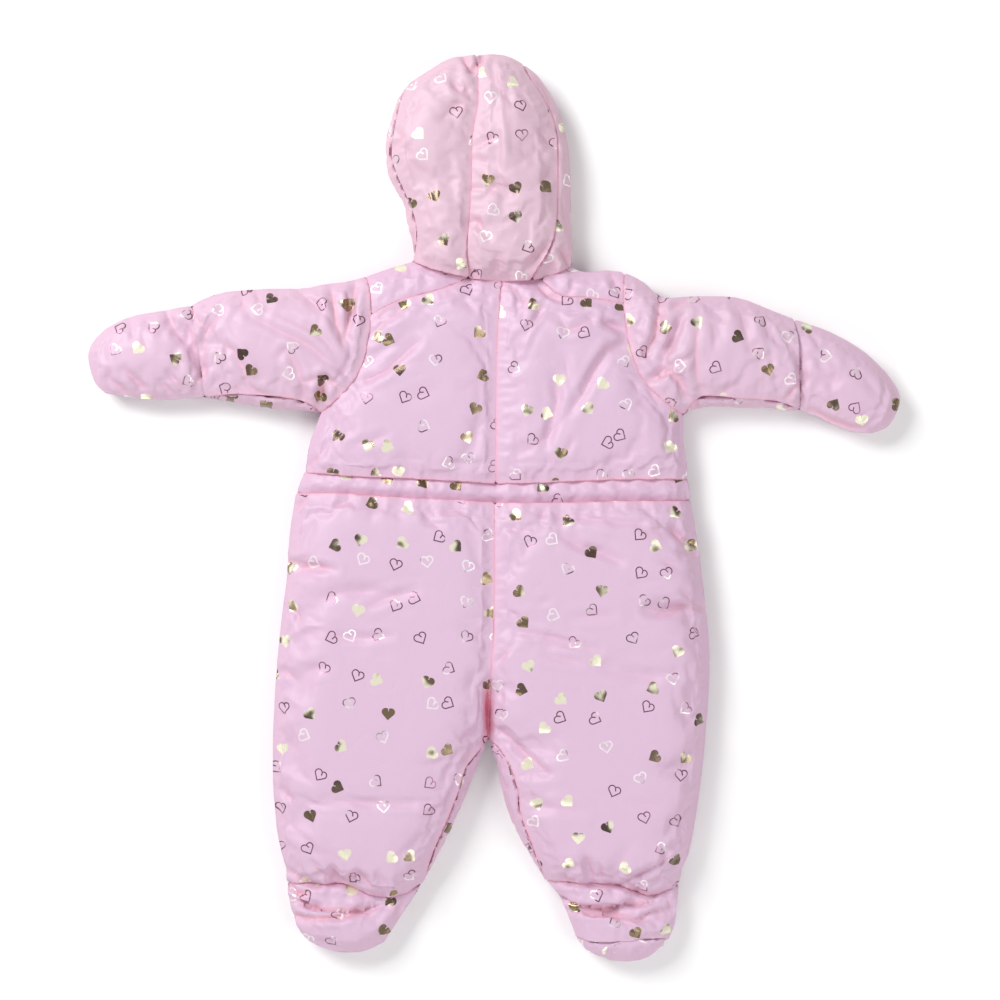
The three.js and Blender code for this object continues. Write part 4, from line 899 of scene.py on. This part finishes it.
    def finish(self, material: bpy.types.Material, look: "PartLook", garment: BVHTree) -> None:
        """Subdivides, creases, paints warm shade on creases and slopes, lays the print's grain and dresses the panel.

        Args:
            material: the cloth's finish.
            look: the creases, which also carry painted warm shade, and the rosy tone of the part that the panel belongs
                to.
            garment: all the solids, for finding where seams show.
        """
        self._thin_inside()
        smooth = self.piece.modifiers.new("smooth", "SUBSURF")
        smooth.levels = smooth.render_levels = 1
        apply_modifier(self.piece, smooth.name)
        mesh = self.piece.data
        places = self._close_seams(read_points(mesh))
        write_points(mesh, places)
        normals = read_normals(mesh)
        grain = self._grain(places, normals)
        away, number = self._border_distance(places, flat=False, kept=self._is_seam(garment))
        height = places[:, 2] - LAYER_HEIGHT
        outer = np.clip(np.abs(height) / (3.0 * MM), 0.0, 1.0)
        push = self._pucker(away, self.border[number])
        painted_shade_amount = np.zeros(len(places))
        for creases, side in ((look.creases, height > 0.0), (look.under_creases, height <= 0.0)):
            for crease in creases:
                depth, crease_shade = crease.profile(places)
                push += depth * side
                painted_shade_amount = np.maximum(painted_shade_amount, crease_shade * outer * side)
        edge_away, edge = self._border_distance(places, flat=False)
        away[self._is_wall(places, normals, edge)] = 0.0
        free = np.clip(edge_away / self.recipe.stiff_edge, 0.0, 1.0)[:, None]
        direction = normals * free
        direction[:, 2] += np.sign(height) * (1.0 - free[:, 0])
        places = places - direction * (push * outer)[:, None]
        if self.layer is Layer.LOWER:
            places[:, 2] = np.maximum(places[:, 2], 0.0)
        write_points(mesh, places)
        # Painted warm shade: more the steeper the cloth slopes, added to the creases' own.
        slope = 1.0 - np.abs(read_normals(mesh)[:, 2])
        painted_shade_amount = np.clip(painted_shade_amount + self.recipe.slope_painted_shade * slope, 0.0, 2.0)
        self._store(mesh, grain, {"painted_shade_amount": painted_shade_amount, "seam_distance": away, "rose": np.full(len(places), look.rose)})
        mesh.materials.clear()
        mesh.materials.append(material)
        mesh.shade_smooth()
        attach(self.piece, "suit")
        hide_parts(self.node)
        log.info("%s has %d faces", self.piece.name, len(mesh.polygons))

    def _is_wall(self, places: np.ndarray, normals: np.ndarray, edge: np.ndarray) -> np.ndarray:
        """Which points lie on the walls inside the seams, given their nearest border points."""
        beside = np.linalg.norm((places - self.border[edge])[:, :2], axis=1) < 1.2 * MM
        facing = np.einsum("ij,ij->i", normals, self.outward[edge]) > 0.5
        inner = np.abs(places[:, 2] - LAYER_HEIGHT) < np.abs(self.border[edge][:, 2] - LAYER_HEIGHT) - 0.4 * MM
        return beside & facing & inner

    def _pucker(self, away: np.ndarray, foot: np.ndarray) -> np.ndarray:
        """Short ripples that run out from the seams."""
        ripple = np.array([noise.noise(Vector(row) / (5.0 * MM)) + 0.6 * noise.noise(Vector(row) / (2.6 * MM)) for row in foot])
        return ripple * self.recipe.ripple * np.exp(-away / (9.0 * MM)) * np.clip(away / (1.5 * MM), 0.2, 1.0)

    def _grain(self, places: np.ndarray, normals: np.ndarray) -> np.ndarray:
        """Where each point lies on the flat cloth, in metres, rolled out at the garment's edge."""
        upright = np.clip(normals[:, 2] * self.layer.value, -0.2, 1.0)
        lean = np.arccos(upright)
        aside = normals[:, :2] / np.maximum(np.linalg.norm(normals[:, :2], axis=1), 1e-6)[:, None]
        flat = places[:, :2] + aside * ((lean - np.sin(lean)) * 16.0 * MM)[:, None]
        turn = math.radians(self.turn)
        rotate = np.array([[math.cos(turn), math.sin(turn)], [-math.sin(turn), math.cos(turn)]])
        return flat @ rotate + np.array(self.shift)

    @staticmethod
    def _store(mesh: bpy.types.Mesh, grain: np.ndarray, numbers: dict[str, np.ndarray]) -> None:
        """Writes the print's map and the named numbers of each point onto the mesh."""
        corners = np.empty(len(mesh.loops), np.int32)
        mesh.loops.foreach_get("vertex_index", corners)
        for old in list(mesh.uv_layers):
            mesh.uv_layers.remove(old)
        mesh.uv_layers.new(name="cloth_grain").data.foreach_set("uv", grain[corners].reshape(-1))
        for name, values in numbers.items():
            stored = mesh.attributes.new(name, "FLOAT", "POINT")
            stored.data.foreach_set("value", values.astype(np.float32))


@dataclass(frozen=True)
class PartLook:
    """What the panels of one part share: creases on top, creases underneath, and how rosy they are."""

    creases: tuple[Crease, ...]
    under_creases: tuple[Crease, ...]
    rose: float = 0.0


@dataclass
class SewnPart:
    """A sub-assembly of padded panels."""

    look: PartLook = PartLook((), ())
    panels: list[PaddedPanel] = field(default_factory=list)

    def block_out(self) -> None:
        """Starts every panel."""
        for panel in self.panels:
            panel.block_out()

    def settle(self, graph: bpy.types.Depsgraph) -> None:
        """Ends every panel's simulation."""
        for panel in self.panels:
            panel.settle(graph)

    def finish(self, material: bpy.types.Material, garment: BVHTree) -> None:
        """Dresses every panel."""
        for panel in self.panels:
            panel.finish(material, self.look, garment)


@dataclass
class Hood(SewnPart):
    """Centre strip, two sides and the band round the face opening."""

    def __post_init__(self) -> None:
        """Lists the hood's panels."""
        self.look = PartLook(HOOD_CREASES, FRONT_CREASES, 1.0)
        self.panels = [
            PaddedPanel("hood_centre", Layer.UPPER, 3.0, (0.310, 0.112), 0.7),
            PaddedPanel("hood_side_left", Layer.UPPER, -12.0, (0.870, 0.402), 0.7),
            PaddedPanel("hood_side_right", Layer.UPPER, 14.0, (1.420, 0.731), 0.7),
            PaddedPanel("hood_front_band", Layer.LOWER, 8.0, (2.020, 0.203), 0.6),
        ]


@dataclass
class BackBodice(SewnPart):
    """Two yokes, two backs and the elastic casing under them."""

    def __post_init__(self) -> None:
        """Lists the back's panels."""
        self.look = PartLook(BACK_CREASES, ())
        self.panels = [
            PaddedPanel("yoke_left", Layer.UPPER, 9.0, (2.530, 0.611)),
            PaddedPanel("yoke_right", Layer.UPPER, -7.0, (3.110, 0.337)),
            PaddedPanel("back_left", Layer.UPPER, 0.0, (3.640, 0.820)),
            PaddedPanel("back_right", Layer.UPPER, 0.0, (4.130, 0.154)),
            PaddedPanel("waist_casing", Layer.UPPER, 0.0, (4.710, 0.515), 0.5),
        ]


@dataclass
class Legs(SewnPart):
    """Seat and leg backs, feet and soles."""

    def __post_init__(self) -> None:
        """Lists the legs' panels."""
        self.look = PartLook(LEG_CREASES + FOOT_CREASES, FRONT_CREASES)
        self.panels = [
            PaddedPanel("leg_back_left", Layer.UPPER, 2.0, (5.240, 0.930)),
            PaddedPanel("leg_back_right", Layer.UPPER, -3.0, (5.810, 0.266)),
            PaddedPanel("foot_upper_left", Layer.UPPER, 12.0, (6.330, 0.744)),
            PaddedPanel("foot_upper_right", Layer.UPPER, -9.0, (6.920, 0.412)),
            PaddedPanel("sole_left", Layer.LOWER, 5.0, (7.450, 0.187), 0.5),
            PaddedPanel("sole_right", Layer.LOWER, -5.0, (8.030, 0.655), 0.5),
        ]


@dataclass
class Sleeves(SewnPart):
    """Sleeves in two halves, each with its mitt."""

    def __post_init__(self) -> None:
        """Lists the sleeves' panels."""
        self.look = PartLook(SLEEVE_CREASES, FRONT_CREASES, 0.3)
        self.panels = [
            PaddedPanel("sleeve_back_left", Layer.UPPER, 84.0, (8.560, 0.301)),
            PaddedPanel("sleeve_back_right", Layer.UPPER, -80.0, (9.140, 0.842)),
            PaddedPanel("sleeve_front_left", Layer.LOWER, 82.0, (9.670, 0.119), 0.5),
            PaddedPanel("sleeve_front_right", Layer.LOWER, -78.0, (10.220, 0.577), 0.5),
            PaddedPanel("mitt_upper_left", Layer.UPPER, 84.0, (8.560, 0.301)),
            PaddedPanel("mitt_upper_right", Layer.UPPER, -80.0, (9.140, 0.842)),
            PaddedPanel("mitt_under_left", Layer.LOWER, 82.0, (9.670, 0.119), 0.5),
            PaddedPanel("mitt_under_right", Layer.LOWER, -78.0, (10.220, 0.577), 0.5),
        ]


@dataclass
class Fronts(SewnPart):
    """The two fronts that the garment lies on."""

    def __post_init__(self) -> None:
        """Lists the fronts' panels."""
        self.look = PartLook(BACK_CREASES + LEG_CREASES, FRONT_CREASES)
        self.panels = [
            PaddedPanel("front_left", Layer.LOWER, 0.0, (13.020, 0.794), 0.5),
            PaddedPanel("front_right", Layer.LOWER, 0.0, (13.580, 0.126), 0.5),
        ]


@dataclass(frozen=True)
class WovenTape:
    """The zip's woven tape with its nylon coil."""

    colour: tuple[float, float, float, float] = (0.78, 0.42, 0.55, 1.0)
    coil: tuple[float, float, float, float] = (0.86, 0.52, 0.64, 1.0)
    pitch: float = 1.5 * MM

    def material(self) -> bpy.types.Material:
        """The finished material."""
        made = bpy.data.materials.new("zip_tape_and_coil")
        made.use_nodes = True
        graph = Graph(made.node_tree)
        shader = made.node_tree.nodes["Principled BSDF"]
        place = graph.node("ShaderNodeSeparateXYZ")
        graph.feed(place.inputs[0], graph.node("ShaderNodeTexCoord").outputs["Object"])
        middle = graph.math("ABSOLUTE", graph.math("SUBTRACT", place.outputs[0], ORIGIN_SHIFT[0]))
        on_coil = graph.smooth(middle, 3.2 * MM, 2.9 * MM)
        ribs = graph.math("SINE", graph.math("MULTIPLY", place.outputs[1], 2.0 * math.pi / self.pitch))
        twill = graph.math("SINE", graph.math("MULTIPLY", graph.math("ADD", place.outputs[0], place.outputs[1]), 2.0 * math.pi / (0.7 * MM)))
        height = graph.math("ADD", graph.math("MULTIPLY", graph.math("MULTIPLY", ribs, on_coil), 0.3 * MM), graph.math("MULTIPLY", twill, 0.05 * MM))
        graph.feed(shader.inputs["Base Color"], graph.mix(on_coil, self.colour, self.coil))
        graph.feed(shader.inputs["Roughness"], graph.smooth(on_coil, 0.0, 1.0, 0.85, 0.4))
        bump = graph.node("ShaderNodeBump")
        bump.inputs["Distance"].default_value = 1.0
        graph.feed(bump.inputs["Height"], height)
        graph.feed(shader.inputs["Normal"], bump.outputs[0])
        return made


@dataclass(frozen=True)
class Enamel:
    """Semi-gloss enamel over cast metal, worn a little where it is handled."""

    colour: tuple[float, float, float, float] = (0.75, 0.39, 0.52, 1.0)
    worn: tuple[float, float, float, float] = (0.62, 0.36, 0.44, 1.0)

    def material(self) -> bpy.types.Material:
        """The finished material."""
        made = bpy.data.materials.new("pink_enamel")
        made.use_nodes = True
        graph = Graph(made.node_tree)
        shader = made.node_tree.nodes["Principled BSDF"]
        place = graph.node("ShaderNodeTexCoord").outputs["Object"]
        rubbed = graph.cloud(place, 900.0, 3.0)
        graph.feed(shader.inputs["Base Color"], graph.mix(graph.smooth(rubbed, 0.55, 0.75), self.colour, self.worn))
        graph.feed(shader.inputs["Roughness"], graph.smooth(rubbed, 0.3, 0.8, 0.28, 0.5))
        shader.inputs["Coat Weight"].default_value = 0.3
        return made


@dataclass
class FrontZip:
    """Tape with coil, slider and pull tab."""

    tape: WovenTape = WovenTape()
    enamel: Enamel = Enamel()
    top: float = 179.0
    bottom: float = -145.0
    coil_height: float = 8.2
    tooth_width: float = 2.7
    tooth_length: float = 0.9
    tooth_drop: float = 0.26

    def build(self) -> None:
        """Dresses the zip's solids and adds the turns of its coil."""
        enamel = self.enamel.material()
        tape = self.tape.material()
        for node, material in (("front_zip", tape), ("zip_slider", enamel), ("zip_pull", enamel)):
            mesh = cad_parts[node].data
            mesh.materials.clear()
            mesh.materials.append(material)
            log.info("%s dressed", node)
        rows = [self._teeth(1.0, 0.0), self._teeth(-1.0, 0.5 * self.tape.pitch / MM)]
        only(rows[0])
        rows[1].select_set(True)
        bpy.ops.object.join()
        teeth = rows[0]
        teeth.name = "zip_coil_turns"
        teeth.data.materials.clear()
        teeth.data.materials.append(tape)
        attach(teeth, "suit")

    def _teeth(self, side: float, start: float) -> bpy.types.Object:
        """One row of coil turns.

        Args:
            side: 1 for the row on the right of the middle, -1 for the left one.
            start: how far the first turn lies above the zip's lower end, in mm.

        Returns:
            The row, in the shared frame.
        """
        bpy.ops.object.select_all(action="DESELECT")
        bpy.ops.mesh.primitive_cube_add(size=1.0)
        row = bpy.context.object
        corners = read_points(row.data)
        taper = np.where(corners[:, 2] > 0.0, 1.0, 0.7)
        x = side * (0.15 + self.tooth_width * (corners[:, 0] * taper + 0.5))
        y = self.bottom + start + self.tooth_length * (corners[:, 1] * taper + 0.5)
        z = self.coil_height - 0.03 - self.tooth_drop * (0.5 - corners[:, 2])
        write_points(row.data, np.array([point(*at) for at in zip(x, y, z)]))
        if side < 0.0:
            row.data.flip_normals()
        repeat = row.modifiers.new("turns", "ARRAY")
        repeat.use_relative_offset = False
        repeat.use_constant_offset = True
        repeat.constant_offset_displace = (0.0, self.tape.pitch, 0.0)
        repeat.count = int((self.top - self.bottom) * MM / self.tape.pitch) - 1
        apply_modifier(row, repeat.name)
        return row


@dataclass
class Studio:
    """Pale floor, soft lights and the camera straight above."""

    centre: tuple[float, float] = (4.8 * MM, 6.8 * MM)
    camera_height: float = 2.214
    frame_width: float = 0.8
    sensor: float = 36.0

    def build(self) -> None:
        """Sets up floor, lights, world and camera."""
        self._floor()
        self._light("key", (-1.35, 1.25, 1.6), 1.2, 53.0)
        self._light("fill", (1.5, -0.5, 1.6), 1.6, 18.0)
        self._light("low", (-0.3, -1.8, 1.2), 1.4, 13.0)
        self._world()
        self._camera()

    def _floor(self) -> None:
        """A plain pale floor under the garment."""
        bpy.ops.object.select_all(action="DESELECT")
        bpy.ops.mesh.primitive_plane_add(size=8.0, location=(0.0, 0.0, -0.0005))
        floor = bpy.context.object
        floor.name = "floor"
        material = bpy.data.materials.new("pale_floor")
        material.use_nodes = True
        shader = material.node_tree.nodes["Principled BSDF"]
        shader.inputs["Base Color"].default_value = (0.9, 0.9, 0.9, 1.0)
        shader.inputs["Roughness"].default_value = 0.9
        floor.data.materials.append(material)

    def _light(self, name: str, place: tuple[float, float, float], size: float, power: float) -> None:
        """Adds a square soft light that faces the garment."""
        data = bpy.data.lights.new(name, "AREA")
        data.size = size
        data.energy = power
        lamp = bpy.data.objects.new(name, data)
        lamp.location = place
        lamp.rotation_euler = (-Vector(place)).to_track_quat("-Z", "Y").to_euler()
        bpy.context.scene.collection.objects.link(lamp)

    def _world(self) -> None:
        """An even pale surround."""
        world = bpy.data.worlds.new("studio")
        world.use_nodes = True
        ground = world.node_tree.nodes["Background"]
        ground.inputs["Color"].default_value = (1.0, 1.0, 1.0, 1.0)
        ground.inputs["Strength"].default_value = 0.36
        bpy.context.scene.world = world

    def _camera(self) -> None:
        """Looks straight down, as the garment is shown."""
        data = bpy.data.cameras.new("camera")
        data.sensor_width = self.sensor
        data.lens = self.sensor * (self.camera_height - LAYER_HEIGHT) / self.frame_width
        camera = bpy.data.objects.new("camera", data)
        camera.location = (*self.centre, self.camera_height)
        bpy.context.scene.collection.objects.link(camera)
        bpy.context.scene.camera = camera
        bpy.context.scene.view_settings.view_transform = "Standard"


def garment_tree() -> BVHTree:
    """All the garment's solids in one tree for rays."""
    corners: list[Vector] = []
    faces: list[list[int]] = []
    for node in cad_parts.values():
        start = len(corners)
        corners.extend(vertex.co.copy() for vertex in node.data.vertices)
        faces.extend([start + index for index in polygon.vertices] for polygon in node.data.polygons)
    return BVHTree.FromPolygons(corners, faces)


def main() -> None:
    """Builds the studio and the garment, part by part."""
    logging.basicConfig(level=logging.INFO, format="%(name)s: %(message)s")
    Studio().build()
    parts: list[SewnPart] = [Hood(), BackBodice(), Legs(), Sleeves(), Fronts()]
    for part in parts:
        part.block_out()
        log.info("%s blocked out", type(part).__name__)
    scene = bpy.context.scene
    for step in range(1, PadRecipe().frames + 1):
        scene.frame_set(step)
    graph = bpy.context.evaluated_depsgraph_get()
    for part in parts:
        part.settle(graph)
    scene.frame_set(1)
    nylon = SatinNylon().material()
    garment = garment_tree()
    for part in parts:
        part.finish(nylon, garment)
    FrontZip().build()


if __name__ == "__main__":
    main()
